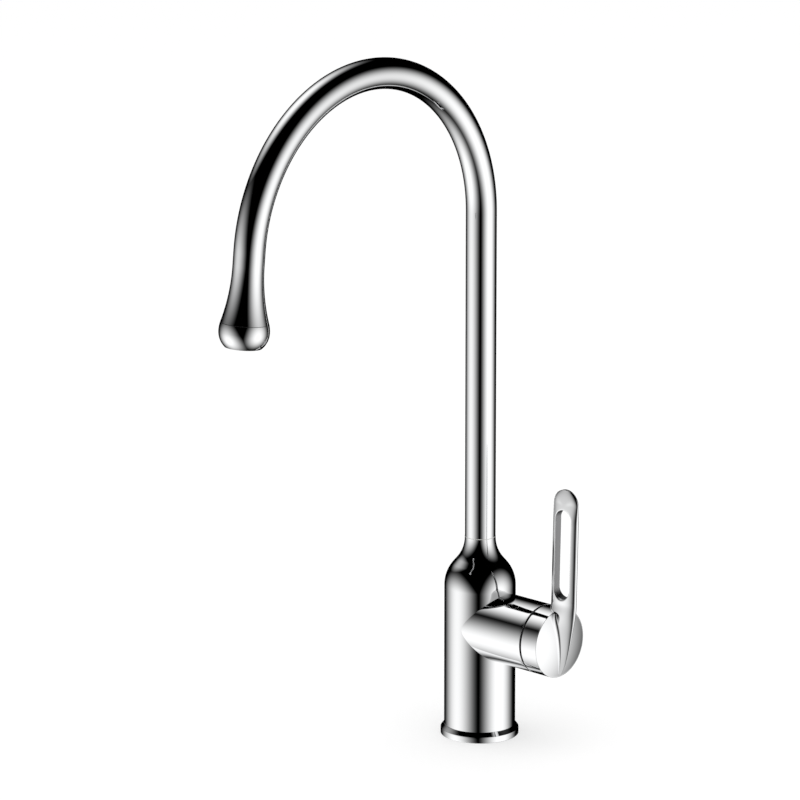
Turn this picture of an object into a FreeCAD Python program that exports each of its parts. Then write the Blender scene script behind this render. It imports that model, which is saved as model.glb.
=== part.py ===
import FreeCAD, Part
import math
import os
import Sketcher

# Three way filtered water tap. Millimetres, +Z up, the origin on the deck under the centre of the
# body, the spout towards -Y and the lever housing towards +X.

TURN = 360.0
KEY_STEP = TURN / 6
WORD = "Sizes"
VECTOR = FreeCAD.Vector

SIZES = {
    # body and base
    "body_radius": 25.0,
    "shoulder_rise": 27.77,
    "shoulder_radius": 26.0,
    "shoulder_slope": 40.0,
    "neck_radius": 10.8,
    "neck_blend": 21.0,
    "neck_straight": 0.57,
    "collar_wall": 2.42,
    "collar_side": 4.4,
    "collar_rise": 2.8,
    "collar_land": 0.2,
    "collar_fit": 0.03,
    "groove_margin": 1.4,
    "groove_width": 3.2,
    "groove_depth": 2.1,
    "seal_play": 0.1,
    # water ways
    "stud_radius": 3.4,
    "stud_depth": 20.0,
    "stud_place": 4.0,
    "stud_side": 13.0,
    "inlet_gap": 0.5,
    "inlet_angle": 60.0,
    "inlet_radius": 4.5,
    "inlet_wall": 1.4,
    "inlet_depth": 14.0,
    "passage_radius": 2.4,
    "supply_drop": 2.23,
    "filter_margin": 5.97,
    "mixed_side": 6.5,
    "mixed_margin": 4.69,
    "mixed_radius": 1.7,
    # side housing
    "axis_height": 81.23,
    "housing_step": 0.52,
    "housing_end": 59.7,
    "chamber_wall": 6.78,
    "chamber_floor": 20.0,
    "nut_ledge": 2.5,
    "nut_seat": 44.0,
    "rebate_wall": 0.78,
    "rebate_depth": 3.0,
    # spout socket
    "socket_radius": 8.8,
    "socket_rise": 16.77,
    "filter_socket_depth": 8.0,
    "filter_seat": 4.4,
    "filter_seat_depth": 2.5,
    "lock_rise": 8.0,
    "lock_radius": 2.5,
    "lock_recess": 1.0,
    # cartridge
    "cartridge_fit": 0.1,
    "seal_height": 1.5,
    "seal_wall": 1.2,
    "cartridge_base": 3.5,
    "cartridge_wall": 2.2,
    "fixed_disc_height": 4.5,
    "moving_disc_height": 4.0,
    "disc_fit": 0.06,
    "disc_gap": 0.02,
    "carrier_play": 0.4,
    "mix_place": 6.0,
    "mix_radius": 6.3,
    "mix_depth": 2.0,
    "cover_height": 3.0,
    "stop_height": 3.5,
    "lug_reach": 10.0,
    "lug_half_width": 2.4,
    "stop_reach": 12.2,
    "stop_half_width": 7.4,
    "carrier_height": 3.0,
    "spindle_radius": 6.0,
    "spindle_square": 8.0,
    "spindle_tip": 71.0,
    "nut_height": 8.0,
    "nut_hole": 10.4,
    "nut_fit": 0.08,
    "nut_slot": 3.0,
    "glide_wall": 2.4,
    "glide_stand": 0.5,
    # spout
    "spout_radius": 10.69,
    "spout_wall": 1.2,
    "washer_height": 0.35,
    "washer_gap": 0.05,
    "arch_height": 376.28,
    "bend_radius": 113.245,
    "bend_angle": 174.18,
    "spigot_fit": 0.08,
    "spigot_wall": 2.0,
    "spigot_end_gap": 1.0,
    "spigot_rise": 22.0,
    "ring_depth": 1.2,
    "ring_height": 4.0,
    "ring_fit": 0.03,
    "ring_top_gap": 4.0,
    "ring_rise": 6.0,
    "oring_radius": 1.2,
    "oring_rise": 12.5,
    "oring_step": 6.0,
    "lock_groove_depth": 1.6,
    "lock_groove_play": 0.3,
    "filter_tube_radius": 3.2,
    "filter_tube_bore": 2.2,
    "filter_tube_gap": 1.0,
    "filter_fit": 0.05,
    # spout end
    "drop_start": 8.0,
    "drop_neck": 10.0,
    "drop_widest": 54.3,
    "drop_radius": 17.2,
    "drop_bulge": 22.0,
    "drop_seam": 48.2,
    "drop_wall": 1.8,
    "drop_sleeve": 7.5,
    "seam_gap": 0.3,
    "seam_rebate": 0.35,
    "joint_radius": 13.6,
    "joint_fit": 0.03,
    "joint_height": 4.5,
    "nozzle_round": 14.5,
    "nozzle_end": 64.9,
    "outlet_radius": 9.6,
    "outlet_fit": 0.05,
    "outlet_ledge": 1.0,
    "outlet_recess": 0.8,
    "outlet_height": 6.0,
    "outlet_hole": 1.05,
    "outlet_circle": 6.6,
    "tip_radius": 3.0,
    "tip_bore": 1.8,
    "tip_start": 42.0,
    "tip_taper": 4.0,
    # lever, heights above the housing axis
    "lever_gap": 1.6,
    "rim_place": 75.18,
    "rim_chamfer": 0.35,
    "dome_rise": 2.9,
    "cap_hollow_depth": 3.4,
    "cap_wall": 3.88,
    "hub_radius": 8.2,
    "hub_end_gap": 1.2,
    "blade_half_width": 11.2,
    "blade_half_depth": 4.1,
    "blade_top": 100.95,
    "blade_top_place": 80.65,
    "blade_knee": 30.0,
    "blade_knee_place": 79.0,
    "blade_round": 10.5,
    "fin_top": 21.0,
    "fin_top_place": 77.6,
    "fin_top_half_width": 11.8,
    "fin_top_half_depth": 5.2,
    "fin_middle": 8.0,
    "fin_middle_place": 75.4,
    "fin_middle_half_width": 11.3,
    "fin_middle_half_depth": 4.6,
    "fin_low": -12.0,
    "fin_low_place": 74.4,
    "fin_low_half_width": 7.4,
    "fin_low_half_depth": 1.75,
    "fin_inset": 1.88,
    "fin_foot_place": 74.6,
    "fin_foot_half_width": 2.1,
    "fin_foot_half_depth": 0.3,
    "slot_half_width": 6.95,
    "slot_low": 39.7,
    "slot_high": 90.2,
    "slot_edge": 0.7,
    "fin_blend": 1.2,
    "grub_place": 68.0,
    "grub_radius": 2.5,
    "grub_recess": 2.0,
    "grub_socket": 1.25,
    "grub_socket_depth": 2.5,
    "screw_fit": 0.05,
    "overcut": 1.0,
}

# Sizes that stand on another one: the base, and the step up or down from it.
STACKED = {
    "shoulder_start": ("axis_height", 1, "shoulder_rise"),
    "supply_height": ("axis_height", -1, "supply_drop"),
    "filter_supply_height": ("axis_height", -1, "filter_drop"),
    "mixed_height": ("axis_height", 1, "mixed_rise"),
    "socket_floor": ("axis_height", 1, "socket_rise"),
    "lock_height": ("socket_floor", 1, "lock_rise"),
    "ring_low": ("lock_height", 1, "ring_rise"),
    "oring_low": ("lock_height", 1, "oring_rise"),
    "oring_high": ("oring_low", 1, "oring_step"),
    "collar_radius": ("body_radius", 1, "collar_wall"),
    "housing_radius": ("body_radius", -1, "housing_step"),
    "chamber_radius": ("housing_radius", -1, "chamber_wall"),
    "cap_hollow_radius": ("housing_radius", -1, "cap_wall"),
    "glide_inner": ("rebate_radius", -1, "glide_wall"),
    "filter_drop": ("chamber_radius", -1, "filter_margin"),
    "groove_outer": ("body_radius", -1, "groove_margin"),
    "groove_inner": ("groove_outer", -1, "groove_width"),
    "rebate_radius": ("housing_radius", -1, "rebate_wall"),
    "nut_bore": ("chamber_radius", 1, "nut_ledge"),
}


class Size:
    """A number together with the sheet expression that gives it."""

    def __init__(self, value, text):
        self.value = value
        self.text = text

    def __add__(self, other):
        other = as_size(other)
        return Size(self.value + other.value, "(%s + %s)" % (self.text, other.text))

    def __sub__(self, other):
        other = as_size(other)
        return Size(self.value - other.value, "(%s - %s)" % (self.text, other.text))

    def __mul__(self, other):
        other = as_size(other)
        return Size(self.value * other.value, "(%s * %s)" % (self.text, other.text))

    def __truediv__(self, other):
        other = as_size(other)
        return Size(self.value / other.value, "(%s / %s)" % (self.text, other.text))

    def __neg__(self):
        return Size(-self.value, "(0 - %s)" % self.text)

    __radd__ = __add__

    def __rmul__(self, other):
        return self * other

    def __rsub__(self, other):
        return as_size(other) - self


def as_size(number):
    if isinstance(number, Size):
        return number
    return Size(float(number), repr(float(number)))


def cosine(angle):
    return Size(math.cos(math.radians(angle.value)), "cos(%s * 1deg)" % angle.text)


def sine(angle):
    return Size(math.sin(math.radians(angle.value)), "sin(%s * 1deg)" % angle.text)


def tangent(angle):
    return Size(math.tan(math.radians(angle.value)), "tan(%s * 1deg)" % angle.text)


def root(number):
    return Size(math.sqrt(number.value), "sqrt(%s)" % number.text)


class Sheet:
    """The spreadsheet of driving sizes, read as attributes."""

    def __init__(self, document):
        self.cells = document.addObject("Spreadsheet::Sheet", WORD)
        for row, name in enumerate(SIZES, start=1):
            self.cells.set("A%d" % row, name)
            self.cells.set("B%d" % row, repr(SIZES[name]))
            self.cells.setAlias("B%d" % row, name)

    def __getattr__(self, name):
        if name in STACKED:
            base, way, step = STACKED[name]
            base, step = getattr(self, base), getattr(self, step)
            return base + step if way > 0 else base - step
        return Size(SIZES[name], "%s.%s" % (WORD, name))

    @property
    def inlet_circle(self):
        return self.groove_inner - self.inlet_radius - self.inlet_wall - self.inlet_gap

    @property
    def mixed_rise(self):
        reach = self.chamber_radius - self.mixed_margin
        return root(reach * reach - self.mixed_side * self.mixed_side)

    @property
    def fin_foot(self):
        return self.fin_inset - self.housing_radius

    @property
    def neck_top(self):
        return shoulder_corners(self)[-1][1] + self.neck_straight


# ---- drawing helpers


def bind(item, path, size):
    item.setExpression(path, as_size(size).text)


def new_body(document, label):
    body = document.addObject("PartDesign::Body", label)
    body.Label = label
    return body


def new_sketch(body, name, role, offset=None):
    sketch = body.newObject("Sketcher::SketchObject", name)
    plane = [item for item in body.Origin.OriginFeatures if item.Role == role][0]
    sketch.AttachmentSupport = [(plane, "")]
    sketch.MapMode = "FlatFace"
    if offset is not None:
        sketch.AttachmentOffset = FreeCAD.Placement(VECTOR(0, 0, as_size(offset).value), FreeCAD.Rotation())
        bind(sketch, "AttachmentOffset.Base.z", offset)
    return sketch


def hold(sketch, kind, *arguments):
    """Add one constraint whose last argument is a Size and bind it to the sheet."""
    size = as_size(arguments[-1])
    index = sketch.addConstraint(Sketcher.Constraint(kind, *arguments[:-1], size.value))
    bind(sketch, "Constraints[%d]" % index, size)
    return index


def pin_point(sketch, geometry, point, across, up):
    hold(sketch, "DistanceX", -1, 1, geometry, point, across)
    hold(sketch, "DistanceY", -1, 1, geometry, point, up)


def draw_polygon(sketch, corners):
    corners = [(as_size(across), as_size(up)) for across, up in corners]
    points = [VECTOR(across.value, up.value, 0) for across, up in corners]
    first = sketch.GeometryCount
    count = len(points)
    for index in range(count):
        sketch.addGeometry(Part.LineSegment(points[index], points[(index + 1) % count]), False)
    for index in range(count):
        following = first + (index + 1) % count
        sketch.addConstraint(Sketcher.Constraint("Coincident", first + index, 2, following, 1))
    for index, (across, up) in enumerate(corners):
        pin_point(sketch, first + index, 1, across, up)


def draw_circle(sketch, across, up, radius):
    across, up, radius = as_size(across), as_size(up), as_size(radius)
    centre = VECTOR(across.value, up.value, 0)
    index = sketch.addGeometry(Part.Circle(centre, VECTOR(0, 0, 1), radius.value), False)
    pin_point(sketch, index, 3, across, up)
    hold(sketch, "Radius", index, radius)


def draw_ellipse(sketch, across, up, half_width, half_depth):
    """An ellipse whose long axis lies across the sketch."""
    centre = VECTOR(as_size(across).value, as_size(up).value, 0)
    long_end = centre + VECTOR(as_size(half_width).value, 0, 0)
    short_end = centre + VECTOR(0, as_size(half_depth).value, 0)
    index = sketch.addGeometry(Part.Ellipse(long_end, short_end, centre), False)
    sketch.exposeInternalGeometry(index)
    sketch.addConstraint(Sketcher.Constraint("Horizontal", index + 1))
    hold(sketch, "Distance", index + 1, as_size(half_width) * 2)
    hold(sketch, "Distance", index + 2, as_size(half_depth) * 2)
    pin_point(sketch, index, 3, across, up)


def arc_between(start, end, radius, bulge_left):
    """The short arc of a radius from start to end, its bulge left or right of that way.

    A sketch keeps its arcs counter-clockwise, so one that bulges left is drawn from its end."""
    if bulge_left:
        start, end = end, start
    chord = end - start
    normal = VECTOR(-chord.y, chord.x, 0)
    normal.normalize()
    reach = math.sqrt(max(radius * radius - chord.Length * chord.Length / 4.0, 0.0))
    centre = (start + end) * 0.5 + normal * reach
    first = math.atan2(start.y - centre.y, start.x - centre.x)
    last = math.atan2(end.y - centre.y, end.x - centre.x)
    if last < first:
        last += 2.0 * math.pi
    return Part.ArcOfCircle(Part.Circle(centre, VECTOR(0, 0, 1), radius), first, last)


def draw_outline(sketch, corners):
    """A closed outline. A corner is (across, up) or (across, up, radius, bulge_left), the arc to the next."""
    points = [VECTOR(as_size(corner[0]).value, as_size(corner[1]).value, 0) for corner in corners]
    count = len(points)
    placed = []
    for index, corner in enumerate(corners):
        start, end = points[index], points[(index + 1) % count]
        if len(corner) == 2:
            number = sketch.addGeometry(Part.LineSegment(start, end), False)
            placed.append((number, 1, 2))
            continue
        bulge_left = corner[3]
        shape = arc_between(start, end, as_size(corner[2]).value, bulge_left)
        number = sketch.addGeometry(shape, False)
        placed.append((number, 2, 1) if bulge_left else (number, 1, 2))
    for index in range(count):
        number, _, end = placed[index]
        following, start, _ = placed[(index + 1) % count]
        sketch.addConstraint(Sketcher.Constraint("Coincident", number, end, following, start))
    for index, corner in enumerate(corners):
        number, start, _ = placed[index]
        pin_point(sketch, number, start, corner[0], corner[1])
        if len(corner) > 2:
            hold(sketch, "Radius", number, corner[2])


def revolve(body, sketch, name, axis="V_Axis", groove=False):
    kind = "PartDesign::Groove" if groove else "PartDesign::Revolution"
    feature = body.newObject(kind, name)
    feature.Profile = sketch
    feature.ReferenceAxis = (sketch, [axis])
    feature.Angle = TURN
    sketch.Visibility = False
    return feature


def pad(body, sketch, name, length, reverse=False, middle=False):
    feature = body.newObject("PartDesign::Pad", name)
    feature.Profile = sketch
    feature.Length = as_size(length).value
    bind(feature, "Length", length)
    feature.Reversed = reverse
    feature.SideType = "Symmetric" if middle else "One side"
    sketch.Visibility = False
    return feature


def pocket(body, sketch, name, length, reverse=False, middle=False):
    feature = body.newObject("PartDesign::Pocket", name)
    feature.Profile = sketch
    feature.Length = as_size(length).value
    bind(feature, "Length", length)
    feature.Reversed = reverse
    feature.SideType = "Symmetric" if middle else "One side"
    sketch.Visibility = False
    return feature


def drill(body, name, role, start, length, across, up, radius, reverse=False):
    """A round hole from the plane at start. Unreversed it runs against the plane's normal."""
    sketch = new_sketch(body, name + "Sketch", role, start)
    draw_circle(sketch, across, up, radius)
    return pocket(body, sketch, name, length, reverse)


def ring_solid(document, label, inner, outer, low, height):
    """A plain ring about the local Z axis."""
    body = new_body(document, label)
    sketch = new_sketch(body, label + "Sketch", "XZ_Plane")
    top = low + height
    draw_polygon(sketch, [(inner, low), (outer, low), (outer, top), (inner, top)])
    revolve(body, sketch, label + "Turn")
    return body


def to_housing(body, sizes):
    """Stand the body's local Z axis along the housing axis, towards +X."""
    turn = FreeCAD.Rotation(VECTOR(0, 1, 0), 90)
    body.Placement = FreeCAD.Placement(VECTOR(0, 0, sizes.axis_height.value), turn)
    bind(body, "Placement.Base.z", sizes.axis_height)


def to_spout_end(body, sizes):
    """Stand the body's local Z axis along the spout's last straight, pointing out of it."""
    across = sizes.bend_radius * cosine(sizes.bend_angle) - sizes.bend_radius
    up = sizes.arch_height + sizes.bend_radius * sine(sizes.bend_angle)
    turn = FreeCAD.Rotation(VECTOR(1, 0, 0), sizes.bend_angle.value)
    body.Placement = FreeCAD.Placement(VECTOR(0, across.value, up.value), turn)
    bind(body, "Placement.Base.y", across)
    bind(body, "Placement.Base.z", up)
    bind(body, "Placement.Rotation.Angle", sizes.bend_angle)


# ---- body, collar and base seal


def shoulder_corners(sizes):
    """The bottle shaped shoulder: bulging arc, straight slope, hollow arc into the neck."""
    slope = sizes.shoulder_slope
    bulge, blend = sizes.shoulder_radius, sizes.neck_blend
    slope_low = sizes.body_radius - bulge * (1 - cosine(slope))
    slope_low_height = sizes.shoulder_start + bulge * sine(slope)
    slope_high = sizes.neck_radius + blend * (1 - cosine(slope))
    slope_high_height = slope_low_height + (slope_low - slope_high) / tangent(slope)
    neck_start = slope_high_height + blend * sine(slope)
    return [
        (sizes.body_radius, sizes.shoulder_start, bulge, False),
        (slope_low, slope_low_height),
        (slope_high, slope_high_height, blend, True),
        (sizes.neck_radius, neck_start),
    ]


def build_body_casting(document, sizes):
    body = new_body(document, "body_casting")
    outline = new_sketch(body, "BodyOutline", "XZ_Plane")
    corners = [(0, 0), (sizes.body_radius, 0)] + shoulder_corners(sizes)
    corners += [(sizes.neck_radius, sizes.neck_top), (0, sizes.neck_top)]
    draw_outline(outline, corners)
    revolve(body, outline, "BodyTurn")

    side = new_sketch(body, "HousingCircle", "YZ_Plane")
    draw_circle(side, 0, sizes.axis_height, sizes.housing_radius)
    pad(body, side, "Housing", sizes.housing_end)

    centre = sizes.axis_height
    nut_depth = sizes.housing_end - sizes.nut_seat
    chamber_depth = sizes.housing_end - sizes.chamber_floor
    end = sizes.housing_end
    drill(body, "Rebate", "YZ_Plane", end, sizes.rebate_depth, 0, centre, sizes.rebate_radius)
    drill(body, "NutBore", "YZ_Plane", end, nut_depth, 0, centre, sizes.nut_bore)
    drill(body, "Chamber", "YZ_Plane", end, chamber_depth, 0, centre, sizes.chamber_radius)

    socket_depth = sizes.neck_top - sizes.socket_floor
    top = sizes.neck_top
    drill(body, "SpoutSocket", "XY_Plane", top, socket_depth, 0, 0, sizes.socket_radius)
    floor = sizes.socket_floor
    seat = sizes.filter_socket_depth
    small = sizes.filter_tube_radius + sizes.filter_fit
    drill(body, "FilterSeat", "XY_Plane", floor, sizes.filter_seat_depth, 0, 0, sizes.filter_seat)
    drill(body, "FilterSocket", "XY_Plane", floor, seat, 0, 0, small)
    build_passages(body, sizes)

    groove = new_sketch(body, "SealGrooveOutline", "XZ_Plane")
    draw_polygon(groove, [
        (sizes.groove_inner, 0), (sizes.groove_outer, 0),
        (sizes.groove_outer, sizes.groove_depth), (sizes.groove_inner, sizes.groove_depth),
    ])
    revolve(body, groove, "SealGroove", groove=True)
    lock_reach = sizes.body_radius + sizes.overcut
    drill(body, "LockHole", "XZ_Plane", 0, lock_reach, 0, sizes.lock_height, sizes.lock_radius)
    return body


def inlet_places(sizes):
    """Across and up of the hot, cold and filtered inlets in the underside."""
    side = sizes.inlet_circle * sine(sizes.inlet_angle)
    back = -(sizes.inlet_circle * cosine(sizes.inlet_angle))
    return [(back, -side), (back, side), (sizes.inlet_circle, as_size(0))]


def build_passages(body, sizes):
    """Stud holes, three inlets, and the ways between inlets, cartridge and spout."""
    radius = sizes.passage_radius
    circle = sizes.inlet_circle
    side = circle * sine(sizes.inlet_angle)
    back = -(circle * cosine(sizes.inlet_angle))
    floor = sizes.chamber_floor
    studs = new_sketch(body, "StudCircles", "XY_Plane", 0)
    draw_circle(studs, sizes.stud_place, sizes.stud_side, sizes.stud_radius)
    draw_circle(studs, sizes.stud_place, -sizes.stud_side, sizes.stud_radius)
    pocket(body, studs, "StudHoles", sizes.stud_depth, reverse=True)
    inlets = new_sketch(body, "InletSketch", "XY_Plane", 0)
    for across, up in inlet_places(sizes):
        draw_circle(inlets, across, up, sizes.inlet_radius + sizes.inlet_wall)
    pocket(body, inlets, "Inlets", sizes.inlet_depth, reverse=True)
    for name, across in (("Hot", -side), ("Cold", side)):
        drill(body, name + "Rise", "XY_Plane", 0, sizes.supply_height, back, across, radius, reverse=True)
        drill(body, name + "Port", "YZ_Plane", floor, floor - back, across, sizes.supply_height, radius)
    low = sizes.filter_supply_height
    drill(body, "FilterRise", "XY_Plane", 0, low, circle, 0, radius, reverse=True)
    drill(body, "FilterPort", "YZ_Plane", floor, floor - circle, 0, low, radius)
    drill(body, "FilterOut", "YZ_Plane", floor, floor, 0, sizes.axis_height, radius)
    socket_end = sizes.socket_floor - sizes.filter_socket_depth
    drill(body, "FilterUp", "XY_Plane", socket_end, socket_end - sizes.axis_height, 0, 0, radius)
    mixed, offset = sizes.mixed_radius, -sizes.mixed_side
    drill(body, "MixedOut", "YZ_Plane", floor, floor, offset, sizes.mixed_height, mixed)
    rise = sizes.socket_floor - sizes.mixed_height
    drill(body, "MixedUp", "XY_Plane", sizes.socket_floor, rise, 0, offset, mixed)


def build_inlet_socket(document, sizes, label, number):
    """Brass socket with the hose thread, pressed into the underside."""
    across, up = inlet_places(sizes)[number]
    outer = sizes.inlet_radius + sizes.inlet_wall
    body = ring_solid(document, label, sizes.inlet_radius, outer, as_size(0), sizes.inlet_depth)
    body.Placement.Base = VECTOR(across.value, up.value, 0)
    bind(body, "Placement.Base.x", across)
    bind(body, "Placement.Base.y", up)
    return body


def build_hot_socket(document, sizes):
    return build_inlet_socket(document, sizes, "hot_inlet_socket", 0)


def build_cold_socket(document, sizes):
    return build_inlet_socket(document, sizes, "cold_inlet_socket", 1)


def build_filtered_socket(document, sizes):
    return build_inlet_socket(document, sizes, "filtered_inlet_socket", 2)


def build_collar(document, sizes):
    body = new_body(document, "base_collar")
    sketch = new_sketch(body, "CollarOutline", "XZ_Plane")
    inner = sizes.body_radius + sizes.collar_fit
    outer, high = sizes.collar_radius, sizes.collar_side
    top = high + sizes.collar_rise
    draw_outline(sketch, [(inner, 0), (outer, 0), (outer, high), (inner + sizes.collar_land, top), (inner, top)])
    revolve(body, sketch, "CollarTurn")
    return body


def build_base_seal(document, sizes):
    play = sizes.seal_play
    height = sizes.groove_depth - play
    return ring_solid(document, "base_seal", sizes.groove_inner + play, sizes.groove_outer - play,
                      as_size(0), height)


# ---- cartridge, in local axes along the housing


def port_places(sizes):
    """Across and up of the five ports, seen along the housing: hot, cold, filter in, filter out, mixed."""
    side = sizes.inlet_circle * sine(sizes.inlet_angle)
    supply, low, mixed = sizes.supply_drop, sizes.filter_drop, -sizes.mixed_rise
    return [(supply, -side), (supply, side), (low, 0), (0, 0), (mixed, -sizes.mixed_side)]


def drill_ports(body, name, sizes, start, length, radius):
    sketch = new_sketch(body, name + "Sketch", "XY_Plane", start)
    for across, up in port_places(sizes):
        draw_circle(sketch, across, up, radius)
    pocket(body, sketch, name, length, reverse=True)


def build_port_seals(document, sizes):
    """Five rubber rings between the chamber floor and the cartridge, one solid each."""
    start = sizes.chamber_floor
    rings = []
    for number, (across, up) in enumerate(port_places(sizes), start=1):
        outer = document.addObject("Part::Cylinder", "SealOuter%d" % number)
        inner = document.addObject("Part::Cylinder", "SealInner%d" % number)
        for item, radius in ((outer, sizes.passage_radius + sizes.seal_wall), (inner, sizes.passage_radius)):
            bind(item, "Radius", radius)
            bind(item, "Height", sizes.seal_height)
            bind(item, "Placement.Base.x", across)
            bind(item, "Placement.Base.y", up)
            bind(item, "Placement.Base.z", start)
        ring = document.addObject("Part::Cut", "SealRing%d" % number)
        ring.Base = outer
        ring.Tool = inner
        rings.append(ring)
    group = document.addObject("Part::Compound", "port_seals")
    group.Label = "port_seals"
    group.Links = rings
    to_housing(group, sizes)
    return group


def build_cartridge_body(document, sizes):
    body = new_body(document, "cartridge_body")
    start = sizes.chamber_floor + sizes.seal_height
    outer = sizes.chamber_radius - sizes.cartridge_fit
    inner = outer - sizes.cartridge_wall
    inside = start + sizes.cartridge_base
    sketch = new_sketch(body, "CupOutline", "XZ_Plane")
    draw_polygon(sketch, [
        (0, start), (outer, start), (outer, sizes.nut_seat - sizes.cover_height),
        (inner, sizes.nut_seat - sizes.cover_height), (inner, inside), (0, inside),
    ])
    revolve(body, sketch, "CupTurn")
    drill_ports(body, "CupPorts", sizes, start, sizes.cartridge_base, sizes.passage_radius)
    to_housing(body, sizes)
    return body


def fixed_disc_start(sizes):
    return sizes.chamber_floor + sizes.seal_height + sizes.cartridge_base


def moving_disc_start(sizes):
    return fixed_disc_start(sizes) + sizes.fixed_disc_height + sizes.disc_gap


def build_fixed_disc(document, sizes):
    body = new_body(document, "fixed_ceramic_disc")
    start = fixed_disc_start(sizes)
    radius = sizes.chamber_radius - sizes.cartridge_fit - sizes.cartridge_wall - sizes.disc_fit
    sketch = new_sketch(body, "FixedDiscCircle", "XY_Plane", start)
    draw_circle(sketch, 0, 0, radius)
    pad(body, sketch, "FixedDisc", sizes.fixed_disc_height)
    drill_ports(body, "FixedDiscPorts", sizes, start, sizes.fixed_disc_height, sizes.passage_radius)
    to_housing(body, sizes)
    return body


def carrier_radius(sizes):
    inner = sizes.chamber_radius - sizes.cartridge_fit - sizes.cartridge_wall
    return inner - sizes.carrier_play


def build_moving_disc(document, sizes):
    """The turning disc, with a kidney shaped hollow that joins the ports below it."""
    body = new_body(document, "moving_ceramic_disc")
    start = moving_disc_start(sizes)
    sketch = new_sketch(body, "MovingDiscCircle", "XY_Plane", start)
    radius = carrier_radius(sizes)
    draw_circle(sketch, 0, 0, radius)
    pad(body, sketch, "MovingDisc", sizes.moving_disc_height)
    hollow = new_sketch(body, "MixHollowCircle", "XY_Plane", start)
    draw_circle(hollow, -sizes.mix_place, 0, sizes.mix_radius)
    pocket(body, hollow, "MixHollow", sizes.mix_depth, reverse=True)
    to_housing(body, sizes)
    return body


def carrier_start(sizes):
    return moving_disc_start(sizes) + sizes.moving_disc_height


def build_spindle(document, sizes):
    """Carrier plate, stop lug, round stem and the square the lever sits on."""
    body = new_body(document, "lever_spindle")
    start = carrier_start(sizes)
    lug_start = start + sizes.carrier_height
    cover_end = sizes.nut_seat
    plate = new_sketch(body, "CarrierCircle", "XY_Plane", start)
    draw_circle(plate, 0, 0, carrier_radius(sizes))
    pad(body, plate, "Carrier", sizes.carrier_height)
    stem = new_sketch(body, "StemCircle", "XY_Plane", lug_start)
    draw_circle(stem, 0, 0, sizes.spindle_radius)
    pad(body, stem, "Stem", cover_end + sizes.nut_height - lug_start)
    square = new_sketch(body, "SquareOutline", "XY_Plane", cover_end + sizes.nut_height)
    half = sizes.spindle_square / 2
    draw_polygon(square, [(-half, -half), (half, -half), (half, half), (-half, half)])
    pad(body, square, "Square", sizes.spindle_tip - cover_end - sizes.nut_height)
    lug = new_sketch(body, "LugOutline", "XY_Plane", lug_start)
    reach, side = sizes.lug_reach, sizes.lug_half_width
    draw_polygon(lug, [(-reach, -side), (0, -side), (0, side), (-reach, side)])
    pad(body, lug, "Lug", sizes.stop_height)
    groove = new_sketch(body, "StemGrooveOutline", "XZ_Plane")
    middle = cover_end - sizes.cover_height / 2
    depth = sizes.spindle_radius - sizes.oring_radius
    low, high = middle - sizes.oring_radius, middle + sizes.oring_radius
    outside = sizes.spindle_radius + sizes.overcut
    draw_polygon(groove, [(depth, low), (outside, low), (outside, high), (depth, high)])
    revolve(body, groove, "StemGroove", groove=True)
    to_housing(body, sizes)
    return body


def build_stem_seal(document, sizes):
    """Rubber ring in the stem groove."""
    body = new_body(document, "stem_seal")
    sketch = new_sketch(body, "StemSealOutline", "XZ_Plane")
    middle = sizes.nut_seat - sizes.cover_height / 2
    outer = sizes.spindle_radius + sizes.ring_fit
    inner = sizes.spindle_radius - sizes.oring_radius
    half = sizes.oring_radius - sizes.seal_play
    draw_polygon(sketch, [(inner, middle - half), (outer, middle - half), (outer, middle + half),
                          (inner, middle + half)])
    revolve(body, sketch, "StemSealTurn")
    to_housing(body, sizes)
    return body


def build_stop_ring(document, sizes):
    """Ring round the stem; its two walls stop the lug a quarter turn either side of upright."""
    body = new_body(document, "stop_ring")
    start = carrier_start(sizes) + sizes.carrier_height + sizes.disc_fit
    height = sizes.nut_seat - sizes.cover_height - start
    outer = sizes.chamber_radius - sizes.cartridge_fit - sizes.cartridge_wall - sizes.disc_fit
    inner = sizes.lug_reach + sizes.carrier_play
    sketch = new_sketch(body, "StopRingCircles", "XY_Plane", start)
    draw_circle(sketch, 0, 0, outer)
    draw_circle(sketch, 0, 0, inner)
    pad(body, sketch, "StopRing", height)
    block = new_sketch(body, "StopBlockOutline", "XY_Plane", start)
    face = sizes.lug_half_width + sizes.disc_fit
    stem = sizes.spindle_radius + sizes.carrier_play
    reach, side = sizes.stop_reach, sizes.stop_half_width
    draw_polygon(block, [(face, -side), (reach, -side), (reach, side), (face, side)])
    pad(body, block, "StopBlock", height)
    hole = new_sketch(body, "StemHoleCircle", "XY_Plane", start)
    draw_circle(hole, 0, 0, stem)
    pocket(body, hole, "StemHole", height, reverse=True)
    to_housing(body, sizes)
    return body


def build_cover(document, sizes):
    inner = sizes.spindle_radius + sizes.ring_fit * 2
    outer = sizes.chamber_radius - sizes.cartridge_fit
    body = ring_solid(document, "cartridge_cover", inner, outer, sizes.nut_seat - sizes.cover_height,
                      sizes.cover_height)
    to_housing(body, sizes)
    return body


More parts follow.
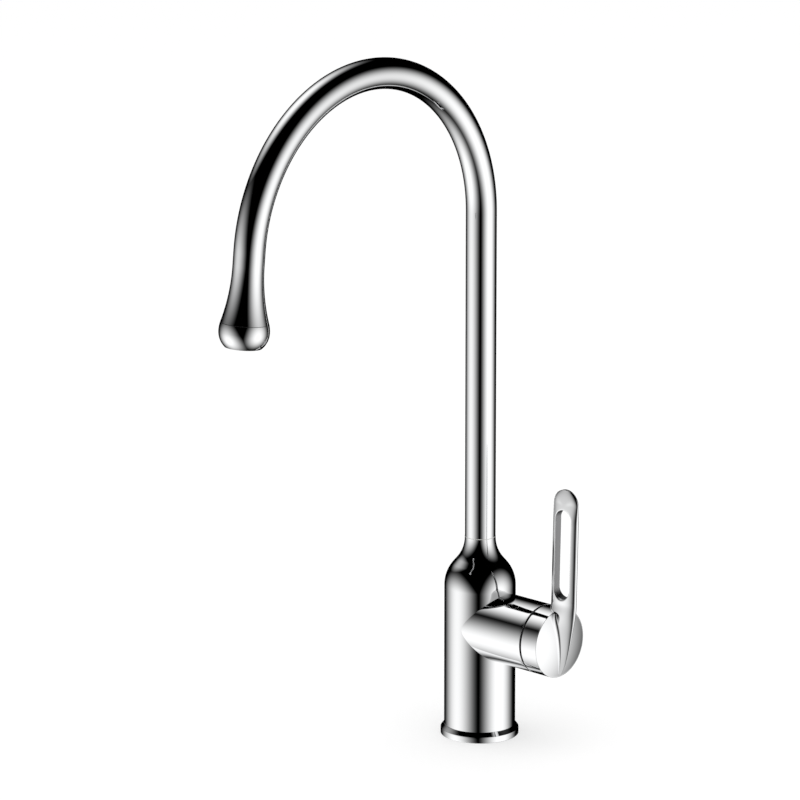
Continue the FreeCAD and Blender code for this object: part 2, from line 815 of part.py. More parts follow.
def build_nut(document, sizes):
    """Brass ring nut with four spanner slots in its outer face."""
    body = new_body(document, "retaining_nut")
    start = sizes.nut_seat
    end = start + sizes.nut_height
    inner, outer = sizes.nut_hole, sizes.nut_bore - sizes.nut_fit
    sketch = new_sketch(body, "NutOutline", "XZ_Plane")
    draw_polygon(sketch, [(inner, start), (outer, start), (outer, end), (inner, end)])
    revolve(body, sketch, "NutTurn")
    slots = new_sketch(body, "NutSlotOutline", "XY_Plane", end)
    half = sizes.nut_slot / 2
    reach = outer + sizes.overcut
    draw_polygon(slots, [(-reach, -half), (-half, -half), (-half, -reach), (half, -reach), (half, -half),
                         (reach, -half), (reach, half), (half, half), (half, reach), (-half, reach),
                         (-half, half), (-reach, half)])
    pocket(body, slots, "NutSlots", sizes.nut_slot)
    to_housing(body, sizes)
    return body


def build_glide_ring(document, sizes):
    """Black ring that lines the seam between housing and lever."""
    low = sizes.housing_end - sizes.rebate_depth
    outer = sizes.rebate_radius - sizes.nut_fit
    body = ring_solid(document, "glide_ring", sizes.glide_inner, outer, low,
                      sizes.rebate_depth + sizes.glide_stand)
    to_housing(body, sizes)
    return body


# ---- spout


def tube_start(sizes):
    return sizes.neck_top + sizes.washer_height + sizes.washer_gap


def build_thrust_washer(document, sizes):
    return ring_solid(document, "thrust_washer", sizes.socket_radius, sizes.neck_radius - sizes.ring_depth * 0.25,
                      sizes.neck_top, sizes.washer_height)


def draw_spout_path(body, name, sizes, start, run):
    """Straight column, arch and the last straight, on the YZ plane."""
    sketch = new_sketch(body, name, "YZ_Plane")
    radius, height, angle = sizes.bend_radius, sizes.arch_height, sizes.bend_angle
    end_across = radius * cosine(angle) - radius
    end_up = height + radius * sine(angle)
    last_across = end_across - run * sine(angle)
    last_up = end_up + run * cosine(angle)
    foot, bend = VECTOR(0, start.value, 0), VECTOR(0, height.value, 0)
    crown = VECTOR(-radius.value, height.value + radius.value, 0)
    end = VECTOR(end_across.value, end_up.value, 0)
    last = VECTOR(last_across.value, last_up.value, 0)
    sketch.addGeometry(Part.LineSegment(foot, bend), False)
    sketch.addGeometry(Part.Arc(bend, crown, end), False)
    sketch.addGeometry(Part.LineSegment(end, last), False)
    forward = sketch.Geometry[1].StartPoint.distanceToPoint(bend) < 1e-6
    near, far = (1, 2) if forward else (2, 1)
    sketch.addConstraint(Sketcher.Constraint("Coincident", 0, 2, 1, near))
    sketch.addConstraint(Sketcher.Constraint("Coincident", 1, far, 2, 1))
    pin_point(sketch, 0, 1, 0, start)
    pin_point(sketch, 0, 2, 0, height)
    pin_point(sketch, 2, 1, end_across, end_up)
    hold(sketch, "Radius", 1, radius)
    pin_point(sketch, 2, 2, last_across, last_up)
    return sketch


def build_pipe(document, label, sizes, start, run, outer, inner):
    body = new_body(document, label)
    path = draw_spout_path(body, label + "Path", sizes, start, run)
    ring = new_sketch(body, label + "Ring", "XY_Plane", start)
    draw_circle(ring, 0, 0, outer)
    draw_circle(ring, 0, 0, inner)
    document.recompute()
    sweep = body.newObject("PartDesign::AdditivePipe", label + "Sweep")
    sweep.Profile = ring
    sweep.Spine = (path, ["Edge1", "Edge2", "Edge3"])
    path.Visibility = False
    ring.Visibility = False
    return body


def build_spout_tube(document, sizes):
    outer = sizes.spout_radius
    return build_pipe(document, "spout_tube", sizes, tube_start(sizes), sizes.drop_start, outer,
                      outer - sizes.spout_wall)


def build_filter_tube(document, sizes):
    """Separate tube that carries the filtered water through the spout."""
    start = sizes.socket_floor - sizes.filter_socket_depth + sizes.filter_tube_gap
    return build_pipe(document, "filtered_water_tube", sizes, start, sizes.tip_start,
                      sizes.filter_tube_radius, sizes.filter_tube_bore)


def ring_grooves(sizes):
    """Low ends and heights of the grooves round the spigot: glide rings, then seals."""
    high_ring = sizes.neck_top - sizes.ring_top_gap - sizes.ring_height
    height = sizes.oring_radius * 2
    return [(sizes.ring_low, sizes.ring_height), (high_ring, sizes.ring_height),
            (sizes.oring_low, height), (sizes.oring_high, height)]


def build_spigot(document, sizes):
    """Turned brass end of the spout that turns in the body's socket."""
    body = new_body(document, "spout_spigot")
    outer = sizes.socket_radius - sizes.spigot_fit
    low = sizes.socket_floor + sizes.spigot_end_gap
    wide = sizes.spout_radius - sizes.spout_wall - sizes.ring_fit
    inner = outer - sizes.spigot_wall - sizes.ring_depth
    seat = tube_start(sizes)
    top = seat + sizes.spigot_rise
    sketch = new_sketch(body, "SpigotOutline", "XZ_Plane")
    draw_polygon(sketch, [(inner, low), (outer, low), (outer, seat), (wide, seat), (wide, top), (inner, top)])
    revolve(body, sketch, "SpigotTurn")
    for number, (start, height) in enumerate(ring_grooves(sizes), start=1):
        cut_ring(body, "SpigotGroove%d" % number, outer - sizes.ring_depth, outer + sizes.overcut, start, height)
    width = (sizes.lock_radius + sizes.lock_groove_play) * 2
    cut_ring(body, "LockGroove", outer - sizes.lock_groove_depth, outer + sizes.overcut,
             sizes.lock_height - width / 2, width)
    return body


def cut_ring(body, name, inner, outer, low, height):
    sketch = new_sketch(body, name + "Sketch", "XZ_Plane")
    draw_polygon(sketch, [(inner, low), (outer, low), (outer, low + height), (inner, low + height)])
    revolve(body, sketch, name, groove=True)


def build_ring_pair(document, label, sizes, grooves, play):
    """Two like rings in the spigot's grooves, one solid each."""
    outer = sizes.socket_radius - sizes.ring_fit
    inner = sizes.socket_radius - sizes.spigot_fit - sizes.ring_depth
    parts = []
    for number, (start, height) in enumerate(grooves, start=1):
        shell = document.addObject("Part::Cylinder", "%sShell%d" % (label, number))
        core = document.addObject("Part::Cylinder", "%sCore%d" % (label, number))
        for item, radius in ((shell, outer), (core, inner)):
            bind(item, "Radius", radius)
            bind(item, "Height", height - play * 2)
            bind(item, "Placement.Base.z", start + play)
        ring = document.addObject("Part::Cut", "%sRing%d" % (label, number))
        ring.Base = shell
        ring.Tool = core
        parts.append(ring)
    group = document.addObject("Part::Compound", label)
    group.Label = label
    group.Links = parts
    return group


def build_lock_screw(document, sizes):
    """Grub screw at the back that keeps the spout in its socket."""
    body = new_body(document, "spout_lock_screw")
    tip = sizes.socket_radius - sizes.spigot_fit - sizes.lock_groove_depth + sizes.lock_groove_play
    length = sizes.body_radius - sizes.lock_recess - tip
    shank = new_sketch(body, "LockScrewCircle", "XY_Plane", tip)
    draw_circle(shank, 0, 0, sizes.lock_radius - sizes.screw_fit)
    pad(body, shank, "LockScrew", length)
    cut_socket(body, "LockSocket", sizes, tip + length)
    turn = FreeCAD.Rotation(VECTOR(1, 0, 0), -90)
    body.Placement = FreeCAD.Placement(VECTOR(0, 0, sizes.lock_height.value), turn)
    bind(body, "Placement.Base.z", sizes.lock_height)
    return body


def cut_socket(body, name, sizes, start):
    """Hexagonal key socket in the end of a grub screw."""
    sketch = new_sketch(body, name + "Sketch", "XY_Plane", start)
    reach = sizes.grub_socket / cosine(as_size(KEY_STEP / 2))
    corners = []
    for number in range(6):
        angle = as_size(KEY_STEP * number)
        corners.append((reach * cosine(angle), reach * sine(angle)))
    draw_polygon(sketch, corners)
    pocket(body, sketch, name, sizes.grub_socket_depth)


# ---- spout end, in local axes out of the spout


def drop_flare(sizes):
    """Radius of the hollow flare and the point where it meets the bulge."""
    rise = sizes.drop_widest - sizes.drop_neck
    bulge = sizes.drop_bulge
    gain = sizes.drop_radius - sizes.spout_radius
    inset = bulge - gain
    flare = (inset * inset + rise * rise - bulge * bulge) / (gain * 2)
    share = bulge / (flare + bulge)
    across = sizes.drop_radius - bulge + (flare + inset) * share
    along = sizes.drop_widest - rise * share
    return flare, across, along


def circle_across(radius, widest, middle, along):
    """Radius at a place along an arc of revolution that is widest at middle."""
    gap = along - middle
    return widest - radius + root(radius * radius - gap * gap)


def build_drop(document, sizes):
    """Teardrop shell below the spout, open inside."""
    body = new_body(document, "spout_end_drop")
    flare, meet_across, meet_along = drop_flare(sizes)
    seam = sizes.drop_seam
    outer = sizes.spout_radius
    inside = outer - sizes.spout_wall
    seam_across = circle_across(sizes.drop_bulge, sizes.drop_radius, sizes.drop_widest, seam)
    sleeve = inside - sizes.ring_fit
    sleeve_end = sizes.drop_start - sizes.drop_sleeve
    bore = sleeve - sizes.drop_wall
    joint = sizes.joint_radius + sizes.joint_fit
    joint_end = seam - sizes.joint_height - sizes.joint_fit
    sketch = new_sketch(body, "DropOutline", "XZ_Plane")
    draw_outline(sketch, [
        (outer, sizes.drop_start), (outer, sizes.drop_neck, flare, True),
        (meet_across, meet_along, sizes.drop_bulge, False), (seam_across, seam), (joint, seam),
        (joint, joint_end), (bore, sizes.drop_neck), (bore, sleeve_end), (sleeve, sleeve_end),
        (sleeve, sizes.drop_start),
    ])
    revolve(body, sketch, "DropTurn")
    to_spout_end(body, sizes)
    return body


def build_nozzle(document, sizes):
    """Rounded lower part that screws up into the drop, with the outlet bore."""
    body = new_body(document, "nozzle_cap")
    start = sizes.drop_seam + sizes.seam_gap
    seam_across = circle_across(sizes.drop_bulge, sizes.drop_radius, sizes.drop_widest, start)
    end = sizes.nozzle_end
    end_across = circle_across(sizes.nozzle_round, sizes.drop_radius, sizes.drop_widest, end)
    bore = sizes.outlet_radius
    ledge, ledge_height = bore - sizes.outlet_ledge, outlet_start(sizes)
    neck = sizes.drop_seam - sizes.joint_height
    sketch = new_sketch(body, "NozzleOutline", "XZ_Plane")
    draw_outline(sketch, [
        (seam_across, start, sizes.drop_bulge, False),
        (sizes.drop_radius, sizes.drop_widest, sizes.nozzle_round, False),
        (end_across, end), (bore, end), (bore, ledge_height), (ledge, ledge_height), (ledge, neck),
        (sizes.joint_radius, neck), (sizes.joint_radius, start),
    ])
    revolve(body, sketch, "NozzleTurn")
    to_spout_end(body, sizes)
    return body


def outlet_start(sizes):
    return sizes.nozzle_end - sizes.outlet_recess - sizes.outlet_height


def build_outlet_insert(document, sizes):
    """Flow straightener: a ring of small holes round the filtered water tip."""
    body = new_body(document, "outlet_insert")
    start = outlet_start(sizes)
    sketch = new_sketch(body, "InsertCircles", "XY_Plane", start)
    draw_circle(sketch, 0, 0, sizes.outlet_radius - sizes.outlet_fit)
    draw_circle(sketch, 0, 0, sizes.tip_radius + sizes.filter_fit)
    pad(body, sketch, "Insert", sizes.outlet_height)
    hole = new_sketch(body, "InsertHoleCircle", "XY_Plane", start)
    draw_circle(hole, sizes.outlet_circle, 0, sizes.outlet_hole)
    first = pocket(body, hole, "InsertHole", sizes.outlet_height, reverse=True)
    ring = body.newObject("PartDesign::PolarPattern", "InsertHoles")
    ring.Originals = [first]
    ring.Axis = (hole, ["N_Axis"])
    ring.Angle = TURN
    ring.Occurrences = 12
    body.Tip = ring
    to_spout_end(body, sizes)
    return body


def build_outlet_tip(document, sizes):
    """Small nozzle of the filtered water, on the end of its tube."""
    body = new_body(document, "filtered_outlet_tip")
    end = sizes.nozzle_end - sizes.outlet_recess * 0.5
    low = sizes.tip_start
    sketch = new_sketch(body, "TipOutline", "XZ_Plane")
    draw_polygon(sketch, [
        (sizes.tip_bore, low), (sizes.filter_tube_radius, low), (sizes.tip_radius, low + sizes.tip_taper),
        (sizes.tip_radius, end), (sizes.tip_bore, end),
    ])
    revolve(body, sketch, "TipTurn")
    to_spout_end(body, sizes)
    return body


def build_nozzle_seal(document, sizes):
    """Black ring that shows in the seam between drop and nozzle."""
    body = new_body(document, "nozzle_seal")
    seam = sizes.drop_seam
    across = circle_across(sizes.drop_bulge, sizes.drop_radius, sizes.drop_widest, seam)
    outer = across - sizes.seam_rebate
    inner = sizes.joint_radius + sizes.joint_fit
    top = seam + sizes.seam_gap
    sketch = new_sketch(body, "NozzleSealOutline", "XZ_Plane")
    draw_polygon(sketch, [(inner, seam), (outer, seam), (outer, top), (inner, top)])
    revolve(body, sketch, "NozzleSealTurn")
    to_spout_end(body, sizes)
    return body


# ---- lever


def draw_slot(sketch, low, high, radius):
    """A slot between two centres, each given as (across, up)."""
    first, second = VECTOR(low[0].value, low[1].value, 0), VECTOR(high[0].value, high[1].value, 0)
    along = second - first
    along.normalize()
    side = VECTOR(along.y, -along.x, 0) * radius.value
    bottom = Part.Arc(first - side, first - along * radius.value, first + side)
    top = Part.Arc(second + side, second + along * radius.value, second - side)
    sketch.addGeometry(bottom, False)
    sketch.addGeometry(Part.LineSegment(first + side, second + side), False)
    sketch.addGeometry(top, False)
    sketch.addGeometry(Part.LineSegment(second - side, first - side), False)
    for number, following in ((0, 1), (1, 2), (2, 3), (3, 0)):
        sketch.addConstraint(Sketcher.Constraint("Tangent", number, 2, following, 1))
    pin_point(sketch, 0, 3, low[0], low[1])
    pin_point(sketch, 2, 3, high[0], high[1])
    hold(sketch, "Radius", 0, radius)


def between(sizes, height):
    """Place of the blade's middle at a height above the housing axis."""
    lean = (sizes.blade_top_place - sizes.blade_knee_place) / (sizes.blade_top - sizes.blade_knee)
    return sizes.blade_knee_place + (height - sizes.blade_knee) * lean


def fin_sections(sizes):
    """Height, place, half width and half depth of the level sections below the blade's knee."""
    return [
        (sizes.fin_foot, sizes.fin_foot_place, sizes.fin_foot_half_width, sizes.fin_foot_half_depth),
        (sizes.fin_low, sizes.fin_low_place, sizes.fin_low_half_width, sizes.fin_low_half_depth),
        (sizes.fin_middle, sizes.fin_middle_place, sizes.fin_middle_half_width,
         sizes.fin_middle_half_depth),
        (sizes.fin_top, sizes.fin_top_place, sizes.fin_top_half_width, sizes.fin_top_half_depth),
        blade_section(sizes, sizes.blade_knee),
    ]


def blade_section(sizes, height):
    return (height, between(sizes, height), sizes.blade_half_width, sizes.blade_half_depth)


def loft_ellipses(document, body, name, sections, ruled):
    """A loft through level ellipses."""
    sketches = []
    for number, (height, place, width, depth) in enumerate(sections, start=1):
        section = new_sketch(body, "%sSection%d" % (name, number), "XY_Plane", height)
        draw_ellipse(section, place, 0, width, depth)
        section.Visibility = False
        sketches.append(section)
    document.recompute()
    loft = body.newObject("PartDesign::AdditiveLoft", name)
    loft.Profile = sketches[0]
    loft.Sections = sketches[1:]
    loft.Ruled = ruled


def slot_sketch(body, sizes):
    slot = new_sketch(body, "SlotOutline", "XZ_Plane")
    low = (between(sizes, sizes.slot_low), sizes.slot_low)
    high = (between(sizes, sizes.slot_high), sizes.slot_high)
    draw_slot(slot, low, high, sizes.slot_half_width)
    return slot


def edges_inside(shape, test):
    """Names of the edges whose every sampled point passes the test."""
    names = []
    for number, edge in enumerate(shape.Edges, start=1):
        first, last = edge.ParameterRange
        points = [edge.valueAt(first + (last - first) * share) for share in (0.1, 0.5, 0.9)]
        if edge.Length > 1e-3 and all(test(point) for point in points):
            names.append("Edge%d" % number)
    return names


def on_slot_rim(sizes, point):
    """Whether a point lies on the slot's wall and on the blade's face."""
    span = sizes.slot_high.value - sizes.slot_low.value
    share = min(max((point.z - sizes.slot_low.value) / span, 0.0), 1.0)
    height = sizes.slot_low.value + span * share
    place = between(sizes, as_size(height)).value
    gap = math.hypot(point.x - place, point.z - height)
    return abs(gap - sizes.slot_half_width.value) < 0.05 and abs(point.y) > 1.0


def on_fin_foot(sizes, point):
    """Whether a point lies on the cap's side, rim or dome close to the fin."""
    reach = sizes.fin_top_half_depth.value + sizes.fin_blend.value
    if abs(point.y) > reach or point.z < sizes.fin_foot.value - sizes.overcut.value:
        return False
    radius, rim = sizes.housing_radius.value, sizes.rim_place.value
    chamfer, rise = sizes.rim_chamfer.value, sizes.dome_rise.value
    flat = radius - chamfer
    dome = (flat * flat + rise * rise) / (rise * 2)
    around = math.hypot(point.y, point.z)
    if point.x > rim:
        return abs(math.hypot(point.x - rim - rise + dome, around) - dome) < 0.03
    if point.z < 0 or point.x < sizes.housing_end.value + 2:
        return False
    return min(abs(around - radius), abs(around + point.x - flat - rim)) < 0.03


def round_edges(body, base, name, radius, test):
    document = body.Document
    document.recompute()
    feature = body.newObject("PartDesign::Fillet", name)
    feature.Base = (base, edges_inside(base.Shape, test))
    bind(feature, "Radius", radius)
    return feature


def build_lever(document, sizes):
    """Cap and slotted blade in one casting, in axes whose origin is on the housing axis."""
    body = new_body(document, "lever_casting")
    start = sizes.housing_end + sizes.lever_gap
    radius, rim = sizes.housing_radius, sizes.rim_place
    chamfer, rise = sizes.rim_chamfer, sizes.dome_rise
    flat = radius - chamfer
    dome = (flat * flat + rise * rise) / (rise * 2)
    cap = new_sketch(body, "CapOutline", "XZ_Plane")
    draw_outline(cap, [
        (start, 0), (rim + rise, 0, dome, False), (rim, flat), (rim - chamfer, radius), (start, radius),
    ])
    revolve(body, cap, "CapTurn", axis="H_Axis")

    loft_ellipses(document, body, "Fin", fin_sections(sizes), False)
    blade = [blade_section(sizes, height) for height in (sizes.blade_knee, sizes.blade_top)]
    loft_ellipses(document, body, "Blade", blade, True)

    top = body.newObject("PartDesign::AdditiveEllipsoid", "BladeTop")
    top.AttachmentSupport = [([item for item in body.Origin.OriginFeatures if item.Role == "XY_Plane"][0], "")]
    top.MapMode = "FlatFace"
    bind(top, "Radius1", sizes.blade_round)
    bind(top, "Radius2", sizes.blade_half_width)
    bind(top, "Radius3", sizes.blade_half_depth)
    top.Angle1 = 0
    bind(top, "AttachmentOffset.Base.x", sizes.blade_top_place)
    bind(top, "AttachmentOffset.Base.z", sizes.blade_top)
    document.recompute()

    round_edges(body, top, "FinBlend", sizes.fin_blend, lambda point: on_fin_foot(sizes, point))
    slot = slot_sketch(body, sizes)
    cut = pocket(body, slot, "Slot", sizes.blade_half_depth * 4, middle=True)
    round_edges(body, cut, "SlotEdges", sizes.slot_edge, lambda point: on_slot_rim(sizes, point))

    hollow = new_sketch(body, "HollowCircles", "YZ_Plane", start)
    draw_circle(hollow, 0, 0, sizes.cap_hollow_radius)
    draw_circle(hollow, 0, 0, sizes.hub_radius)
    pocket(body, hollow, "Hollow", sizes.cap_hollow_depth, reverse=True)
    square = new_sketch(body, "HubSquare", "YZ_Plane", start)
    half = sizes.spindle_square / 2 + sizes.screw_fit
    draw_polygon(square, [(-half, -half), (half, -half), (half, half), (-half, half)])
    pocket(body, square, "HubHole", sizes.spindle_tip + sizes.hub_end_gap - start, reverse=True)
    drill(body, "GrubHole", "XY_Plane", 0, radius + sizes.overcut, sizes.grub_place, 0, sizes.grub_radius)
    bind(body, "Placement.Base.z", sizes.axis_height)
    return body


def build_grub_screw(document, sizes):
    """Grub screw under the cap that grips the spindle's square."""
    body = new_body(document, "lever_grub_screw")
    tip = sizes.spindle_square / 2 + sizes.screw_fit
    length = sizes.housing_radius - sizes.grub_recess - tip
    shank = new_sketch(body, "GrubCircle", "XY_Plane", tip)
    draw_circle(shank, 0, 0, sizes.grub_radius - sizes.screw_fit)
    pad(body, shank, "Grub", length)
    cut_socket(body, "GrubSocket", sizes, tip + length)
    place = sizes.grub_place
    turn = FreeCAD.Rotation(VECTOR(1, 0, 0), 180)
    body.Placement = FreeCAD.Placement(VECTOR(place.value, 0, sizes.axis_height.value), turn)
    bind(body, "Placement.Base.x", place)
    bind(body, "Placement.Base.z", sizes.axis_height)
    return body


def build_filter_seal(document, sizes):
    inner = sizes.filter_tube_radius + sizes.ring_fit
    outer = sizes.filter_seat - sizes.ring_fit
    low = sizes.socket_floor - sizes.filter_seat_depth
    return ring_solid(document, "filter_tube_seal", inner, outer, low, sizes.filter_seat_depth)


BUILDERS = [
    build_body_casting, build_hot_socket, build_cold_socket, build_filtered_socket, build_collar,
    build_base_seal, build_port_seals, build_cartridge_body,
    build_fixed_disc, build_moving_disc, build_spindle, build_stem_seal, build_stop_ring, build_cover,
    build_nut, build_glide_ring, build_thrust_washer, build_spout_tube, build_filter_tube, build_spigot,
    build_lock_screw, build_filter_seal, build_drop, build_nozzle, build_outlet_insert, build_outlet_tip,
    build_nozzle_seal, build_lever, build_grub_screw,
]


def build_all(document):
    sizes = Sheet(document)
    document.recompute()
    parts = [build(document, sizes) for build in BUILDERS]
    grooves = ring_grooves(sizes)
    parts.append(build_ring_pair(document, "swivel_rings", sizes, grooves[:2], sizes.ring_fit))
    parts.append(build_ring_pair(document, "spout_seals", sizes, grooves[2:], sizes.seal_play))
    document.recompute()
    return parts


def check_and_export(document, parts):
    for item in document.Objects:
        if "Invalid" in item.State or "Error" in item.State:
            raise RuntimeError("%s did not build: %s" % (item.Label, item.State))
    os.makedirs("parts", exist_ok=True)
    for part in parts:
        shape = part.Shape
        if shape.isNull() or not shape.isValid() or not shape.Solids:
            raise RuntimeError("%s has no valid solid" % part.Label)
        shape.exportStep("parts/%s.step" % part.Label)
        print(part.Label, len(shape.Solids), round(shape.Volume, 1))


document = FreeCAD.newDocument("Tap")
check_and_export(document, build_all(document))
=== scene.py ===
import math
import bmesh
import bpy
import numpy as np
from mathutils import Matrix, Vector


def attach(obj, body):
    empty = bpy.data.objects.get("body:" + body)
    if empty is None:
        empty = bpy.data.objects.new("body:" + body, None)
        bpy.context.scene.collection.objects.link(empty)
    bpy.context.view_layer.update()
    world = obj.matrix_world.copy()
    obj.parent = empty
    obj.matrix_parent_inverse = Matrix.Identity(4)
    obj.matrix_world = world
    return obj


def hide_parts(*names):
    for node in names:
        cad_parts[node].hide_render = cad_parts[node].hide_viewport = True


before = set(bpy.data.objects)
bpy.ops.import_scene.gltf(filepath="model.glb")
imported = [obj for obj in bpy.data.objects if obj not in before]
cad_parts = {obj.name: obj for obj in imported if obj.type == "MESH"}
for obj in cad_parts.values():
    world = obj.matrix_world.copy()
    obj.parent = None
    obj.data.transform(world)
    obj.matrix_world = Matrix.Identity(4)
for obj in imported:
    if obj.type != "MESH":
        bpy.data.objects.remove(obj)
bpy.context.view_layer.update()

MM = 0.001

# ---- Tap body
# A brass casting, turned, polished and chrome plated: an upright cylinder that draws in like a
# bottle to the spout's neck, with a round housing for the cartridge on its right side.
BODY_RADIUS = 25.0
SHOULDER_START = 108.27
SHOULDER_BULGE = 25.0
SHOULDER_SLOPE = 40.0
NECK_RADIUS = 10.8
NECK_BLEND = 24.0
NECK_TOP = 143.6
SOCKET_RADIUS = 8.8
AXIS_HEIGHT = 81.23
HOUSING_RADIUS = 24.48
HOUSING_START = 3.0
HOUSING_END = 59.7
REBATE_RADIUS = 23.7
EDGE_ROUND = 0.22
LOCK_HEIGHT = 106.0
LOCK_HOLE = 2.5
ROUND_STEPS = 192
SKIN = 0.6
# each cut runs from its first to its second number, the lands are how far body and housing overlap
LOCK_CUT = (18.0, 30.0)
SIDE_CUT, SIDE_LAND = (10.0, 40.0), 2.0
UPRIGHT_CUT, UPRIGHT_LAND = (40.0, 125.0), 2.5
# how far a corner of a CAD facet may lie from the flat or the round that it belongs to
FLAT_SLACK, FACET_SLACK, NECK_SLACK, SHOULDER_SLACK = 0.01, 0.06, 0.3, 0.1


class Value:
    """A node socket that takes part in Python arithmetic."""

    def __init__(self, paint, socket):
        self.paint = paint
        self.socket = socket

    def math(self, operation, other=None, swap=False):
        pair = (other, self) if swap else (self, other)
        return self.paint.node("ShaderNodeMath", {"operation": operation}, list(pair))

    def __add__(self, other):
        return self.math("ADD", other)

    def __radd__(self, other):
        return self.math("ADD", other, True)

    def __sub__(self, other):
        return self.math("SUBTRACT", other)

    def __rsub__(self, other):
        return self.math("SUBTRACT", other, True)

    def __mul__(self, other):
        return self.math("MULTIPLY", other)

    def __rmul__(self, other):
        return self.math("MULTIPLY", other, True)

    def __truediv__(self, other):
        return self.math("DIVIDE", other)

    def __rtruediv__(self, other):
        return self.math("DIVIDE", other, True)

    def __pow__(self, other):
        return self.math("POWER", other)


class Paint:
    """A node tree that is filled one node at a time."""

    def __init__(self, tree):
        self.tree = tree

    def node(self, kind, settings=None, inputs=None, output=0):
        """One node: its type, its settings, the values or links of its sockets, and the output it gives."""
        made = self.tree.nodes.new(kind)
        for name, value in (settings or {}).items():
            setattr(made, name, value)
        pairs = inputs.items() if isinstance(inputs, dict) else enumerate(inputs or [])
        for place, value in pairs:
            if value is None:
                continue
            if isinstance(value, Value):
                self.tree.links.new(value.socket, made.inputs[place])
            else:
                made.inputs[place].default_value = value
        return Value(self, made.outputs[output]) if made.outputs else None


def new_material(name):
    """A material with an empty node tree, and the tree to fill."""
    material = bpy.data.materials.new(name)
    material.use_nodes = True
    material.node_tree.nodes.clear()
    return material, Paint(material.node_tree)


def finish_material(paint, settings):
    shader = paint.node("ShaderNodeBsdfPrincipled", None, settings)
    paint.node("ShaderNodeOutputMaterial", None, {"Surface": shader})


def noise(paint, place, scale, detail):
    return paint.node("ShaderNodeTexNoise", None, {"Vector": place, "Scale": scale, "Detail": detail})


def blend_colours(paint, share, first, second):
    return paint.node("ShaderNodeMix", {"data_type": "RGBA"}, {0: share, 6: first, 7: second}, output=2)


def coat_material(name, colour, metallic, roughness, spread, grain, depth, tint):
    """A solid finish whose tone, sheen and surface wander a little at the grain's size."""
    material, paint = new_material(name)
    place = paint.node("ShaderNodeTexCoord", None, None, output=3)
    broad = noise(paint, place, grain * 0.12, 3.0)
    fine = noise(paint, place, grain, 4.0)
    low = tuple(c * (1.0 - tint) for c in colour) + (1.0,)
    high = tuple(min(c * (1.0 + tint), 1.0) for c in colour) + (1.0,)
    settings = {
        "Base Color": blend_colours(paint, broad, low, high),
        "Metallic": metallic,
        "Roughness": fine * spread + (roughness - spread / 2),
    }
    if depth:
        relief = {"Height": fine, "Strength": 0.35, "Distance": depth}
        settings["Normal"] = paint.node("ShaderNodeBump", None, relief)
    finish_material(paint, settings)
    return material


# Bright chrome: a mirror plate over polished brass, with the faintest haze from wiping.
CHROME_COLOUR = (0.925, 0.93, 0.935)
CHROME_HAZE, HAZE_SPREAD, HAZE_SIZE = 0.028, 0.016, 90.0
chrome = coat_material("bright_chrome", CHROME_COLOUR, 1.0, CHROME_HAZE, HAZE_SPREAD, HAZE_SIZE, 0.0, 0.006)


def arc(start, end, radius, left, count):
    """Points of the short arc from start to end, which bulges to the left or right of that way."""
    start, end = np.array(start, float), np.array(end, float)
    chord = end - start
    length = np.hypot(*chord)
    normal = np.array([-chord[1], chord[0]]) / length
    reach = math.sqrt(max(radius ** 2 - length ** 2 / 4, 0.0))
    centre = (start + end) / 2 + normal * (-reach if left else reach)
    first = math.atan2(*(start - centre)[::-1])
    turn = math.atan2(*(end - centre)[::-1]) - first
    turn = (turn + math.pi) % (2 * math.pi) - math.pi
    angles = first + turn * np.linspace(0, 1, count)
    return [(centre[0] + radius * math.cos(a), centre[1] + radius * math.sin(a)) for a in angles]


def add_object(name, data):
    """A new object in the scene, at the origin."""
    made = bpy.data.objects.new(name, data)
    bpy.context.scene.collection.objects.link(made)
    return made


def smooth(mesh, sharp):
    """Smooth shading, with hard edges where the faces meet at more than an angle in degrees."""
    mesh.shade_smooth()
    mesh.set_sharp_from_angle(angle=math.radians(sharp))


def merge_mesh(mesh, sharp, outward=True):
    """Joins points that coincide and shades the mesh, with its faces turned outwards if asked."""
    shape = bmesh.new()
    shape.from_mesh(mesh)
    bmesh.ops.remove_doubles(shape, verts=shape.verts, dist=1e-7)
    if outward:
        bmesh.ops.recalc_face_normals(shape, faces=shape.faces)
    shape.to_mesh(mesh)
    shape.free()
    smooth(mesh, sharp)


def mesh_object(name, points, faces, sharp):
    """A smooth shaded object from points in millimetres."""
    mesh = bpy.data.meshes.new(name)
    mesh.from_pydata([tuple(p) for p in np.asarray(points, float) * MM], [], faces)
    mesh.validate()
    merge_mesh(mesh, sharp)
    return add_object(name, mesh)


def turned(name, profile, sharp, axis="Z", place=None):
    """A turned piece: (radius, height) points of a closed outline spun about an axis, then placed."""
    profile = np.array(profile, float)
    count = len(profile)
    angles = np.arange(ROUND_STEPS) * 2 * math.pi / ROUND_STEPS
    points = np.zeros((ROUND_STEPS, count, 3))
    points[..., 0] = np.cos(angles)[:, None] * profile[:, 0]
    points[..., 1] = np.sin(angles)[:, None] * profile[:, 0]
    points[..., 2] = profile[:, 1]
    points = points.reshape(-1, 3)
    if axis == "X":
        points = points[:, [2, 0, 1]]
    if place is not None:
        points = points @ np.array(place.to_3x3()).T + np.array(place.translation)
    faces = []
    for i in range(ROUND_STEPS):
        for j in range(count):
            k = (j + 1) % count
            a, b = i * count, (i + 1) % ROUND_STEPS * count
            faces.append((a + j, b + j, b + k, a + k))
    return mesh_object(name, points, faces, sharp)


def join(name, pieces):
    """One object from several, all of them already in place."""
    shape = bmesh.new()
    for piece in pieces:
        shape.from_mesh(piece.data)
    mesh = bpy.data.meshes.new(name)
    shape.to_mesh(mesh)
    shape.free()
    for piece in pieces:
        bpy.data.objects.remove(piece)
    return add_object(name, mesh)


